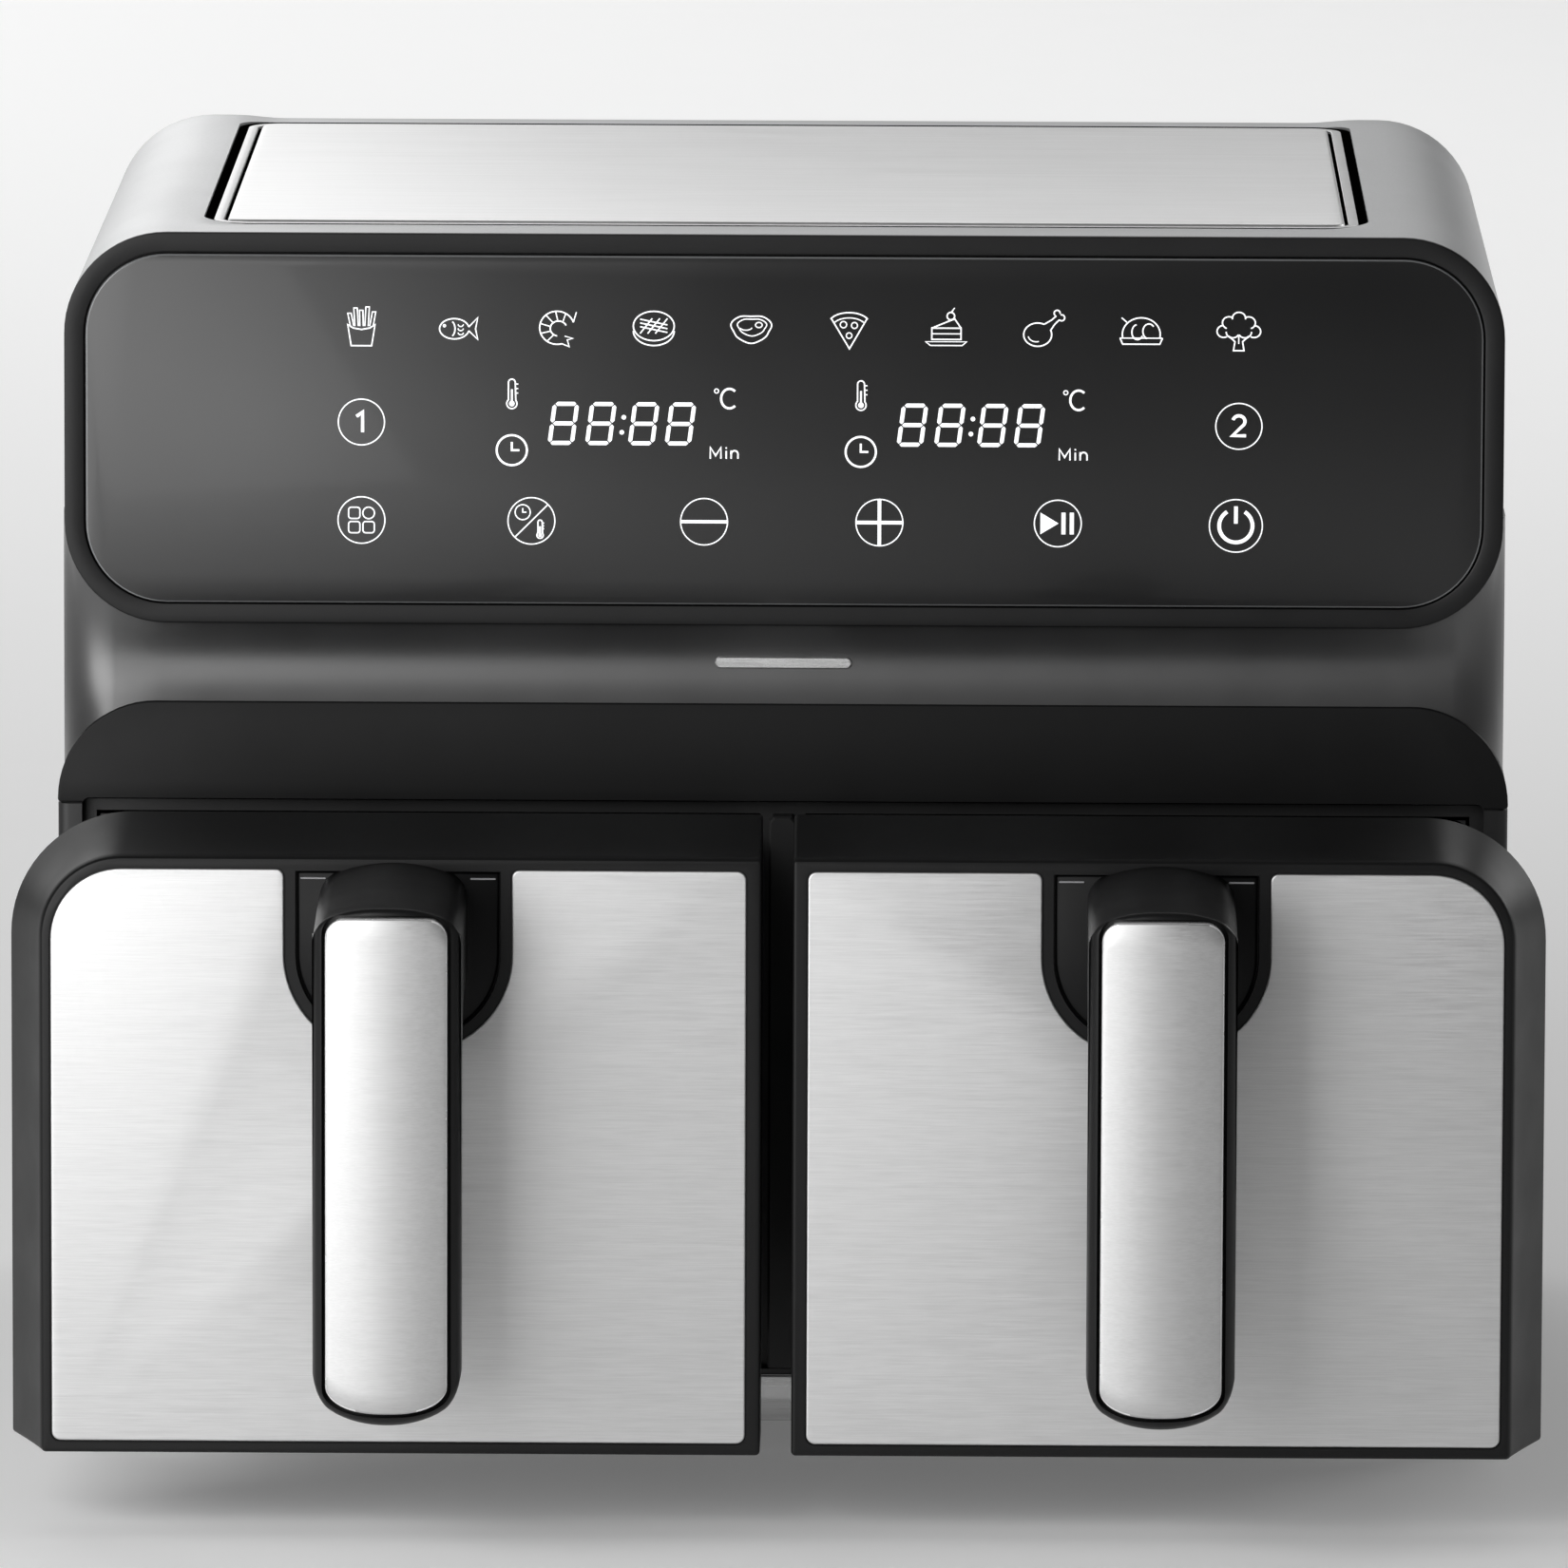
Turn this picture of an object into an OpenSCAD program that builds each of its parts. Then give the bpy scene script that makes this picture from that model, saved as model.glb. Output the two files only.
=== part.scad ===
// Dual-drawer air fryer. A silver painted shell over a black moulded body, two slide-out
// drawers with lift-out crisper trays, and a heater, a fan and a motor above each drawer.
// Millimetres. +Z is up and the front faces -Y. The origin is on the surface the feet
// stand on, under the middle of the object with its drawers partly open.

/* [Housing] */
// Width of the housing
body_w = 380; // [330:1:460]
// Height of the housing above its underside
body_h = 320; // [270:1:390]
// Depth from the control face to the back of the shell
body_d = 290; // [240:1:350]
// Radius of the upper corners
corner_r = 27; // [15:1:32]
// Radius of the rear edges
rear_r = 12; // [6:1:16]
// Thickness of the painted shell
shell_t = 2; // [1.5:0.1:2.5]
// Wall thickness of the moulded parts
wall = 2.5; // [2:0.1:4]
// How far the rear cover stands out from the back
rear_cover_d = 9; // [6:1:20]
// Distance from the side and top of the shell to the edge of the rear cover
cover_margin = 15; // [13:1:24]
// Width of the shell's lip behind the rear cover
cover_lip = 12; // [10:1:16]
// Height of the base pan
base_h = 14.6; // [12:0.1:20]
// Height of the rubber feet
foot_h = 5; // [3:0.5:15]
// Radius of the rubber feet
foot_r = 9; // [6:0.5:12]

/* [Front] */
// Height of the seam between the lower body and the front housing
seam_z = 168; // [140:1:200]
// Height of the flat ledge above the seam
ledge_h = 27; // [22:1:40]
// Height of the concave neck above the ledge
neck_h = 21; // [12:1:30]
// Depth of the concave neck
neck_depth = 9; // [4:0.5:12]
// How far the front housing reaches back along the sides
front_wrap = 40; // [30:1:60]
// Width of the frame around the control glass
bezel = 5.7; // [4:0.1:10]
// Thickness of the control glass
glass_t = 3; // [2:0.5:4]
// How far the control glass stands proud of its frame
glass_proud = 0.5; // [0:0.1:1]

/* [Top plate] */
// Distance from the control face to the slot in the shell
slot_front = 26; // [20:1:40]
// Distance from the slot to the back of the shell
slot_rear = 23; // [22:1:40]
// Distance from the slot to the side of the shell
slot_side = 35.3; // [33:0.1:60]
// Corner radius of the slot
slot_r = 12; // [11:0.5:20]
// Open groove outside the trim ring
groove_w = 2.7; // [1:0.1:5]
// Width of the trim ring
ring_w = 2.6; // [1.5:0.1:5]
// Gap between the trim ring and the plate
ring_gap = 1; // [0.4:0.1:2]
// Sheet thickness of the plate
plate_sheet = 0.8; // [0.5:0.1:1.5]

/* [Drawers] */
// How far the drawers are pulled out at rest
rest_pull = 92; // [0:1:200]
// Thickness of a drawer front
drawer_t = 28; // [24:1:40]
// Gap between the two drawer fronts
drawer_gap = 8.1; // [4:0.1:20]
// Gap between a closed drawer front and the body
close_gap = 1.5; // [0.5:0.1:3]
// How far the drawer front flares out past its face
flare = 9; // [3:0.5:12]
// Height of the underside of the drawer fronts
drawer_z = 16.3; // [15:0.1:26]
// Height of the upper edge of a drawer face above the seam
drawer_rise = 4.5; // [2:0.5:12]
// Outer upper corner radius of a drawer face
face_r = 21; // [12:1:30]
// Thickness of the steel face panels
panel_t = 0.8; // [0.5:0.1:1.5]
// Thickness of the pan
pan_t = 1.5; // [1:0.1:2.5]
// Height of the crisper tray above the pan floor
tray_lift = 14.5; // [8:0.5:30]
// Radius of the crisper tray holes
tray_hole_r = 4; // [2:0.5:5]

/* [Handles] */
// Width of a handle
handle_w = 38; // [28:1:46]
// How far a handle stands out from the drawer face
handle_reach = 56; // [48:1:75]
// Thickness of the grip
grip_t = 18; // [12:1:22]
// Distance from the underside of the drawer to the grip
grip_low = 17.6; // [8:0.1:30]
// Distance from the top of the drawer face down to the top of the grip
grip_drop = 4; // [2:0.5:10]
// Height of the arm that carries the grip
arm_h = 34; // [26:1:44]
// Black rim around the steel cap of the grip
cap_rim = 3.4; // [2.5:0.1:6]
// Width of the cut-out in the steel panel
recess_w = 58.8; // [48:0.1:70]
// Height of the cut-out in the steel panel
recess_h = 47.8; // [40:0.1:60]
// Black strip between the panel and the plate behind the handle
recess_rim = 3; // [2:0.1:6]

/* [Heating and air] */
// Distance from the housing side to the cavity
cavity_side = 9; // [7:0.5:20]
// Distance from the back of the cavity to the back of the shell
cavity_rear = 50; // [40:1:64]
// Sheet thickness of the cavity
liner_t = 1; // [0.8:0.1:2]
// Height of the heating chamber above the drawer
chamber_h = 48; // [46:1:56]
// Radius of the heating element tube
element_r = 3.2; // [2.5:0.1:4]
// Radius of the fan shaft
shaft_r = 3; // [2.5:0.5:5]
// Radial clearance of the shaft in the motor
shaft_play = 0.05; // [0.02:0.01:0.09]
// Height of the motors
motor_h = 34; // [24:1:40]
// Radius of the cord's bore in the gland
cord_bore_r = 3.8; // [2.5:0.1:5]

/* [Hidden] */
$fn = 64;
part_gap = 0.4;      // visible gap around inset panels
slide_gap = 0.3;     // clearance of pieces that move
shell_fit = 0.1;     // clearance of the control head inside the shell
bezel_t = 1.2;       // front plate of the control head, in front of the shell
post_w = 7;          // centre post between the drawers
eps = 0.5;           // overshoot of cutters

half_w = body_w / 2;
ledge_z = seam_z + ledge_h;
head_z = ledge_z + neck_h;
shell_low_z = head_z + corner_r;         // the shell's front edge ends here
lower_half = half_w + 2;                 // lower body and ledge
skirt_half = half_w + 1;                 // neck
back_y = body_d + rear_cover_d;
cover_half = half_w - cover_margin;
cover_top = body_h - cover_margin;
cover_low = 3;
screw_r = 1.8;
head_wall_y = glass_t - glass_proud + wall;
head_back_y = slot_front - 6;            // the head stays in front of the plate's seat

slot_half = half_w - slot_side;
slot_back = body_d - slot_rear;
plate_inset = groove_w + ring_w + ring_gap;
seat_z = body_h - 4;
seat_t = 2;
plate_top = body_h + 0.2;

recess_half = half_w - 4.4;              // recess that the closed drawers cover
recess_y = 6;
recess_top = seam_z + 1.2;
mouth_t = 2;                             // plate around the cavity mouths

drawer_x0 = drawer_gap / 2;
drawer_x1 = half_w;
drawer_top = seam_z + drawer_rise;
face_y = -close_gap - drawer_t;          // drawer face, closed
rear_plate_t = 2.5;
front_wall_t = 3;

cavity_x0 = post_w / 2 + 3.5;
cavity_x1 = half_w - cavity_side;
cavity_x = (cavity_x0 + cavity_x1) / 2;
cavity_floor = 20;
cavity_roof = seam_z - 4;
cavity_back = body_d - cavity_rear;
chamber_r = (cavity_x1 - cavity_x0) / 2 - 7;
chamber_y = cavity_back / 2;
chamber_top = cavity_roof + chamber_h;
deck_z = chamber_top + liner_t;
deck_t = 1.2;
motor_z = deck_z + deck_t;

pan_x0 = cavity_x0 + 4;
pan_x1 = cavity_x1 - 4;
pan_z0 = cavity_floor + 4;
pan_z1 = cavity_roof - 4;
pan_back = cavity_back - 8;
pan_r = 14;
rim_w = 2.5;
tray_z = pan_z0 + pan_t + tray_lift;

handle_x = (drawer_x0 + drawer_x1) / 2 + 1.9;
recess_x = handle_x - 1.2;
grip_z0 = drawer_z + grip_low;
grip_z1 = drawer_top - grip_drop;
grip_y = face_y - handle_reach;
grip_bow = 62;                           // radius of the bowed front of the grip
handle_screw_r = 2;
handle_screw_len = 14;
plate_y = face_y + 1;                    // front of the plate behind the handle
plate_t = 2;
arm_z = drawer_top - 0.5 - arm_h;
panel_x0 = drawer_x0 + 3.9;
panel_x1 = drawer_x1 - 2.6;
panel_z0 = drawer_z + 3.2;
panel_z1 = drawer_top - 3;
panel_r = face_r - 2.5;

fan_r = chamber_r * 0.7;
fan_z = cavity_roof + 22;
fan_h = 13;
ring_outer_r = chamber_r - 16;
ring_inner_r = chamber_r - 32;
element_z = cavity_roof + 12;
guard_z = cavity_roof + 3;
guard_wire_r = 1.2;
motor_r = 26;
cool_z = motor_z + motor_h + 4;
cool_h = 10;
shaft_top = cool_z + cool_h + 2;
gland_x = cover_half - 40;
gland_z = 40;
gland_r = 9;
cord_sleeve_r = 6.5;
vent_rows = 9;

front_y = grip_y - rest_pull;
rear_y = back_y + 3;
mid_y = (front_y + rear_y) / 2;

// ---- Placing helpers -------------------------------------------------------------

module in_frame() {
  translate([0, -mid_y, foot_h]) children();
}

module along_y(y0, y1) {
  translate([0, y1, 0]) rotate([90, 0, 0]) linear_extrude(y1 - y0) children();
}

module along_x(x0, x1) {
  translate([x0, 0, 0]) rotate([90, 0, 90]) linear_extrude(x1 - x0) children();
}

module along_z(z0, z1) {
  translate([0, 0, z0]) linear_extrude(z1 - z0) children();
}

module on_side(side) {
  if (side == "left") mirror([1, 0, 0]) children();
  else children();
}

module pulled() {
  translate([0, -rest_pull, 0]) children();
}

module at_chamber() {
  translate([cavity_x, chamber_y, 0]) children();
}

// The part of a square corner that lies outside its round
module corner_waste(x, z, dx, dz, r) {
  if (r > 0) translate([x, z]) mirror([dx < 0 ? 1 : 0, 0]) mirror([0, dz < 0 ? 1 : 0])
    difference() {
      translate([-eps, -eps]) square([r + eps, r + eps]);
      translate([r, r]) circle(r);
    }
}

// Rectangle with its own radius at each corner: lower left, lower right, upper right, upper left
module rounded(x0, x1, z0, z1, r) {
  difference() {
    translate([x0, z0]) square([x1 - x0, z1 - z0]);
    corner_waste(x0, z0, 1, 1, r[0]);
    corner_waste(x1, z0, -1, 1, r[1]);
    corner_waste(x1, z1, -1, -1, r[2]);
    corner_waste(x0, z1, 1, -1, r[3]);
  }
}

// Outline of the control head, with a margin taken off all round
module head_outline(inset) {
  r = corner_r - inset;
  rounded(-half_w + inset, half_w - inset, head_z + inset, body_h - inset, [r, r, r, r]);
}

module box(x0, x1, y0, y1, z0, z1) {
  translate([x0, y0, z0]) cube([x1 - x0, y1 - y0, z1 - z0]);
}

// ---- Top -------------------------------------------------------------------------

// Outline of the shell, closed below the seam where the shell is cut off
module shell_outline(inset) {
  r = max(corner_r - inset, 2);
  rounded(-half_w + inset, half_w - inset, seam_z - corner_r, body_h - inset, [0, 0, r, r]);
}

// Solid of the shell with its rear edges rounded over
module shell_solid(inset) {
  steps = 6;
  hull() {
    along_y(bezel_t - inset, body_d - rear_r) shell_outline(inset);
    for (k = [1 : steps]) {
      turn = 90 * k / steps;
      y = body_d - rear_r + (rear_r - inset) * sin(turn);
      along_y(y - 0.1, y) shell_outline(rear_r - (rear_r - inset) * cos(turn));
    }
  }
}

module slot_outline(inset) {
  r = slot_r - inset;
  rounded(-slot_half + inset, slot_half - inset, slot_front + inset, slot_back - inset, [r, r, r, r]);
}

module top_shell() {
  color([0.72, 0.72, 0.73]) in_frame() difference() {
    shell_solid(0);
    shell_solid(shell_t);
    box(-half_w - eps, half_w + eps, 0, body_d + eps, 0, seam_z);
    box(-half_w - eps, half_w + eps, 0, front_wrap, seam_z - eps, shell_low_z);
    along_z(body_h - 2 * shell_t, body_h + eps) slot_outline(0);
    along_y(body_d - 2 * shell_t, body_d + eps) cover_outline(cover_lip);
    rear_screws() cylinder(r = screw_r, h = 20);
  }
}

module top_seat() {
  lip = 4;
  open_edge = plate_inset + 12;
  open_half = slot_half - open_edge;
  color([0.03, 0.03, 0.03]) in_frame() difference() {
    along_z(seat_z - seat_t, body_h - shell_t) slot_outline(-lip);
    along_z(seat_z, body_h) slot_outline(0);
    along_z(seat_z - seat_t - eps, seat_z + eps) rounded(-open_half, open_half, slot_front + open_edge,
      slot_back - open_edge, [8, 8, 8, 8]);
  }
}

module top_trim_ring() {
  color([0.75, 0.75, 0.76]) in_frame() difference() {
    along_z(seat_z, body_h - 0.3) slot_outline(groove_w);
    along_z(seat_z - eps, body_h + eps) slot_outline(groove_w + ring_w);
  }
}

module top_plate() {
  color([0.8, 0.8, 0.8]) in_frame() difference() {
    along_z(seat_z, plate_top) slot_outline(plate_inset);
    along_z(seat_z - eps, plate_top - plate_sheet) slot_outline(plate_inset + plate_sheet);
  }
}

// ---- Front housing ---------------------------------------------------------------

module neck_plan() {
  rounded(-skirt_half, skirt_half, neck_depth, front_wrap, [14, 14, 0, 0]);
}

module ledge_outline() {
  rounded(-lower_half, lower_half, seam_z, ledge_z, [0, 0, corner_r - 1, corner_r - 1]);
}

module front_housing() {
  inner_half = half_w - shell_t - wall;
  back_y0 = neck_depth + wall;
  color([0.06, 0.06, 0.06]) in_frame() difference() {
    union() {
      along_y(0, bezel_t) head_outline(0);
      along_y(bezel_t - 0.1, head_back_y) intersection() {
        head_outline(shell_t + shell_fit);
        translate([-half_w, shell_low_z - eps]) square([body_w, body_h]);
      }
      along_y(bezel_t - 0.1, front_wrap) intersection() {
        head_outline(0);
        translate([-half_w, 0]) square([body_w, shell_low_z]);
      }
      along_z(ledge_z - corner_r, shell_low_z) neck_plan();
      along_y(0, front_wrap) ledge_outline();
    }
    along_y(-eps, glass_t - glass_proud) head_outline(bezel - part_gap);
    box(-inner_half, inner_half, back_y0, front_wrap + eps, seam_z - eps, shell_low_z - 2);
    along_y(head_wall_y, front_wrap + eps) head_outline(corner_r / 4);
    box(-recess_half, recess_half, -eps, recess_y, seam_z - eps, recess_top);
    along_y(wall, back_y0 + eps) rounded(-lower_half + wall, lower_half - wall, recess_top + wall, ledge_z - wall,
      [0, 0, corner_r - 1 - wall, corner_r - 1 - wall]);
  }
}

module control_glass() {
  color([0.09, 0.09, 0.1]) in_frame()
    along_y(-glass_proud, glass_t - glass_proud) head_outline(bezel);
}

module front_badge() {
  badge_half = 18;
  badge_z = (ledge_z + head_z) / 2;
  color([0.75, 0.75, 0.75]) in_frame() along_y(neck_depth - 1, neck_depth)
    rounded(-badge_half, badge_half, badge_z - 1.5, badge_z + 1.5, [1.4, 1.4, 1.4, 1.4]);
}

module control_board() {
  board_y = head_wall_y + 4;
  color([0.05, 0.25, 0.12]) in_frame() {
    box(-130, 130, board_y, board_y + 1.6, head_z + 16, body_h - 16);
    for (x = [-110, 0, 110], z = [head_z + 24, body_h - 24])
      translate([x, head_wall_y, z]) rotate([-90, 0, 0]) cylinder(r = 3, h = 4);
    box(-62, -22, board_y - 3, board_y, head_z + 44, head_z + 60);
    box(29, 69, board_y - 3, board_y, head_z + 44, head_z + 60);
  }
}

// ---- Lower body ------------------------------------------------------------------

module body_plan(inset) {
  r = rear_r - inset;
  rounded(-lower_half + inset, lower_half - inset, inset, body_d - inset, [3, 3, r, r]);
}

module lower_body() {
  color([0.06, 0.06, 0.06]) in_frame() difference() {
    union() {
      difference() {
        along_z(base_h, seam_z) body_plan(0);
        difference() {
          along_z(base_h - eps, seam_z + eps) body_plan(wall);
          box(-lower_half, lower_half, 0, recess_y + mouth_t, 0, body_h);
        }
        box(-recess_half, recess_half, -eps, recess_y, drawer_z, seam_z + eps);
      }
      box(-post_w / 2, post_w / 2, 0, recess_y + eps, drawer_z - eps, seam_z - 3);
    }
    for (side = ["left", "right"]) on_side(side)
      box(cavity_x0 - liner_t, cavity_x1 + liner_t, 0.5, 10, cavity_floor - liner_t, cavity_roof + liner_t);
    along_y(body_d - wall - eps, body_d + eps) cover_outline(cover_lip);
    rear_screws() cylinder(r = screw_r, h = 20);
  }
}

module base_trim() {
  color([0.7, 0.7, 0.7]) in_frame()
    box(-lower_half + 4, lower_half - 4, 0, 1, 2.2, base_h - 0.2);
}

module base_pan() {
  rib_z = cavity_floor - liner_t;
  color([0.05, 0.05, 0.05]) in_frame() {
    difference() {
      along_z(0, base_h) body_plan(1);
      along_z(wall, base_h + eps) body_plan(1 + wall);
    }
    box(-lower_half + 4, lower_half - 4, 0, 1 + eps, 0, 2.2);
    for (side = ["left", "right"], x = [cavity_x - 50, cavity_x + 50]) on_side(side)
      box(x - 1.5, x + 1.5, 12, cavity_back - 5, wall - 0.1, rib_z);
  }
}

module feet() {
  color([0.1, 0.1, 0.1]) in_frame() for (x = [-half_w + 30, half_w - 30], y = [25, body_d - 25])
    translate([x, y, -foot_h]) cylinder(r = foot_r, h = foot_h);
}

// ---- Rear ------------------------------------------------------------------------

module cover_outline(inset) {
  rounded(-cover_half + inset, cover_half - inset, cover_low + inset, cover_top - inset,
          [6, 6, corner_r / 2, corner_r / 2]);
}

// Runs its children along the axis of each screw, with the tips inside the body
module rear_screws() {
  for (x = [-cover_half + 6, cover_half - 6], z = [cover_low + 20, seam_z + 10, cover_top - 20])
    translate([x, back_y + eps, z]) rotate([90, 0, 0]) children();
}

module rear_cover() {
  slot_w = 84;
  pitch = 9;
  color([0.07, 0.07, 0.07]) in_frame() difference() {
    along_y(body_d, back_y) cover_outline(0);
    along_y(body_d - eps, back_y - wall) cover_outline(cover_lip);
    for (side = ["left", "right"], i = [0 : vent_rows - 1]) on_side(side)
      box(cavity_x - slot_w / 2, cavity_x + slot_w / 2, back_y - wall - eps, back_y + eps,
          head_z + i * pitch, head_z + i * pitch + 4);
    translate([gland_x, body_d, gland_z]) rotate([-90, 0, 0]) cylinder(r = cord_sleeve_r, h = 40);
    rear_screws() cylinder(r = screw_r, h = 20);
  }
}

module cord_gland() {
  color([0.08, 0.08, 0.08]) in_frame() translate([gland_x, back_y - wall, gland_z])
    rotate([-90, 0, 0]) difference() {
      union() {
        translate([0, 0, -8]) cylinder(r = cord_sleeve_r, h = 8 + wall + 3);
        translate([0, 0, wall]) cylinder(r = gland_r, h = 3);
        translate([0, 0, -3]) cylinder(r = gland_r, h = 3);
      }
      translate([0, 0, -9]) cylinder(r = cord_bore_r, h = 20);
    }
}

module power_board() {
  board_y = body_d - 22;
  board_z = deck_z + 10;
  color([0.05, 0.25, 0.12]) in_frame() {
    box(-60, 60, board_y, board_y + 1.6, board_z, board_z + 72);
    for (x = [-40, 0, 40]) box(x - 8, x + 8, board_y - 16, board_y, board_z + 8, board_z + 28);
    for (x = [-25, 20]) translate([x, board_y, board_z + 52]) rotate([90, 0, 0]) cylinder(r = 8, h = 12);
    for (x = [-54, 54], z = [board_z + 5, board_z + 60])
      translate([x, board_y + 1.6, z]) rotate([-90, 0, 0]) cylinder(r = 3, h = back_y - wall - board_y - 1.6);
  }
}

module housing_screws() {
  color([0.5, 0.5, 0.52]) in_frame() {
    rear_screws() {
      translate([0, 0, eps - 1.6]) cylinder(r = 4, h = 1.6);
      cylinder(r = screw_r, h = 18);
    }
  }
}

// ---- Heating and air, built on the right side --------------------------------------

module motor_deck() {
  color([0.6, 0.6, 0.62]) in_frame() difference() {
    box(-half_w + 6, half_w - 6, front_wrap + 2, cavity_back - 4, deck_z, motor_z);
    for (side = ["left", "right"]) on_side(side) at_chamber() {
      translate([0, 0, deck_z - eps]) cylinder(r = shaft_r + 3, h = deck_t + 1);
      translate([chamber_r * 0.75, 0, deck_z - eps]) cylinder(r = 2.6, h = deck_t + 1);
    }
  }
}

module cavity(side) {
  color([0.35, 0.35, 0.36]) in_frame() on_side(side) difference() {
    union() {
      box(cavity_x0 - liner_t, cavity_x1 + liner_t, recess_y, cavity_back + liner_t,
          cavity_floor - liner_t, cavity_roof + liner_t);
      at_chamber() translate([0, 0, cavity_roof]) cylinder(r = chamber_r + liner_t, h = chamber_h + liner_t);
    }
    box(cavity_x0, cavity_x1, recess_y - eps, cavity_back, cavity_floor, cavity_roof);
    at_chamber() {
      translate([0, 0, cavity_roof - eps]) cylinder(r = chamber_r, h = chamber_h + eps);
      translate([0, 0, chamber_top - eps]) cylinder(r = shaft_r + 3, h = liner_t + 1);
      translate([chamber_r * 0.75, 0, chamber_top - eps]) cylinder(r = 2.6, h = liner_t + 1);
      for (x = [-12, 12]) translate([x, chamber_r - 12, element_z]) rotate([-90, 0, 0])
        cylinder(r = element_r + 0.8, h = 20);
    }
  }
}

module ring(major, minor) {
  rotate_extrude() translate([major, 0]) circle(minor);
}

module heating_element(side) {
  bar_len = ring_outer_r - ring_inner_r;
  color([0.25, 0.2, 0.18]) in_frame() on_side(side) at_chamber() translate([0, 0, element_z]) {
    ring(ring_outer_r, element_r);
    ring(ring_inner_r, element_r);
    for (a = [30, 150, 270]) rotate([0, 0, a]) translate([ring_inner_r, 0, 0]) rotate([0, 90, 0])
      cylinder(r = 2, h = bar_len);
    for (x = [-12, 12]) translate([x, sqrt(ring_outer_r * ring_outer_r - x * x), 0]) rotate([-90, 0, 0])
      cylinder(r = element_r - 0.4, h = 30);
  }
}

module element_guard(side) {
  leg_r = chamber_r - 5;
  guard_top = chamber_top - cavity_roof - 3;
  color([0.7, 0.7, 0.7]) in_frame() on_side(side) at_chamber() translate([0, 0, guard_z]) {
    for (k = [1 : 5]) ring(leg_r * k / 5, guard_wire_r);
    for (a = [0 : 60 : 300]) rotate([0, 0, a]) translate([leg_r / 5, 0, 0]) rotate([0, 90, 0])
      cylinder(r = guard_wire_r * 0.8, h = leg_r * 4 / 5);
    for (a = [0, 120, 240]) rotate([0, 0, a]) translate([leg_r, 0, 0])
      cylinder(r = guard_wire_r * 0.9, h = guard_top);
  }
}

module motor(side) {
  color([0.45, 0.45, 0.47]) in_frame() on_side(side) at_chamber() translate([0, 0, motor_z])
    difference() {
      union() {
        cylinder(r = motor_r + 8, h = 2);
        cylinder(r = motor_r, h = motor_h);
        translate([-34, -22, 8]) cube([68, 44, 18]);
      }
      translate([0, 0, -eps]) cylinder(r = shaft_r + shaft_play, h = motor_h + 1);
    }
}

module fan_shaft(side) {
  color([0.8, 0.8, 0.8]) in_frame() on_side(side) at_chamber() translate([0, 0, fan_z])
    cylinder(r = shaft_r, h = shaft_top - fan_z);
}

module blades(count, inner, outer, height, tilt) {
  for (i = [0 : count - 1]) rotate([0, 0, i * 360 / count]) translate([inner, 0, 0]) rotate([tilt, 0, 0])
    translate([0, -0.6, 0]) cube([outer - inner, 1.2, height]);
}

module hot_air_fan(side) {
  color([0.75, 0.75, 0.76]) in_frame() on_side(side) at_chamber() translate([0, 0, fan_z]) difference() {
    union() {
      cylinder(r = 8, h = fan_h);
      translate([0, 0, fan_h - 1.2]) cylinder(r = fan_r, h = 1.2);
      blades(12, 6, fan_r - 1, fan_h, 0);
    }
    translate([0, 0, -eps]) cylinder(r = shaft_r, h = fan_h + 1);
  }
}

module cooling_fan(side) {
  color([0.85, 0.85, 0.82]) in_frame() on_side(side) at_chamber() translate([0, 0, cool_z]) difference() {
    union() {
      cylinder(r = 8, h = cool_h);
      cylinder(r = 20, h = 1.2);
      blades(8, 6, 34, cool_h, 0);
    }
    translate([0, 0, -eps]) cylinder(r = shaft_r, h = cool_h + 1);
  }
}

module temperature_sensor(side) {
  color([0.8, 0.78, 0.7]) in_frame() on_side(side) at_chamber() translate([chamber_r * 0.75, 0, 0]) {
    translate([0, 0, chamber_top - 12]) cylinder(r = 2.4, h = motor_z - chamber_top + 12 + eps);
    translate([0, 0, motor_z]) cylinder(r = 6, h = 7);
  }
}

module drawer_sensor(side) {
  color([0.9, 0.9, 0.88]) in_frame() on_side(side)
    box(0.6, cavity_x0 - liner_t - 0.6, recess_y + mouth_t, recess_y + mouth_t + 20, 138, 146);
}

// ---- Drawers, built on the right side in their closed place ------------------------

module face_outline(inset) {
  rounded(drawer_x0 + inset, drawer_x1 - inset, drawer_z + inset, drawer_top - inset,
          [1, 1, face_r - inset, 1]);
}

module flare_outline() {
  rounded(drawer_x0, drawer_x1 + flare, drawer_z, drawer_top + flare - 1.2, [1, 1, face_r + flare + 2, 1]);
}

module recess_outline(inset) {
  r = recess_w / 2 - 3.8 - inset;
  half = recess_w / 2 - inset;
  rounded(recess_x - half, recess_x + half, panel_z1 - recess_h + inset, panel_z1 - (inset > 0 ? 0.8 : -eps),
          [r, r, 0, 0]);
}

module panel_outline(inset) {
  rounded(panel_x0 + inset, panel_x1 - inset, panel_z0 + inset, panel_z1 - inset,
          [2.3, 2.3, panel_r - inset, 2.3]);
}

module drawer_front(side) {
  step_y = -close_gap - rear_plate_t;
  color([0.06, 0.06, 0.06]) in_frame() on_side(side) pulled() difference() {
    hull() {
      along_y(face_y, face_y + 1) face_outline(0);
      along_y(-close_gap - 1, -close_gap) flare_outline();
    }
    along_y(face_y + front_wall_t + plate_t, step_y) face_outline(5);
    along_y(step_y, eps) face_outline(front_wall_t);
    along_y(face_y - eps, face_y + panel_t - 0.3) difference() {
      panel_outline(-part_gap);
      recess_outline(part_gap);
    }
    along_y(face_y - eps, plate_y + plate_t) recess_outline(recess_rim);
    handle_screw_axes() cylinder(r = handle_screw_r, h = handle_screw_len);
  }
}

module rear_plate(side) {
  color([0.08, 0.08, 0.08]) in_frame() on_side(side) pulled()
    along_y(-close_gap - rear_plate_t, -close_gap) face_outline(front_wall_t + 0.2);
}

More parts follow.
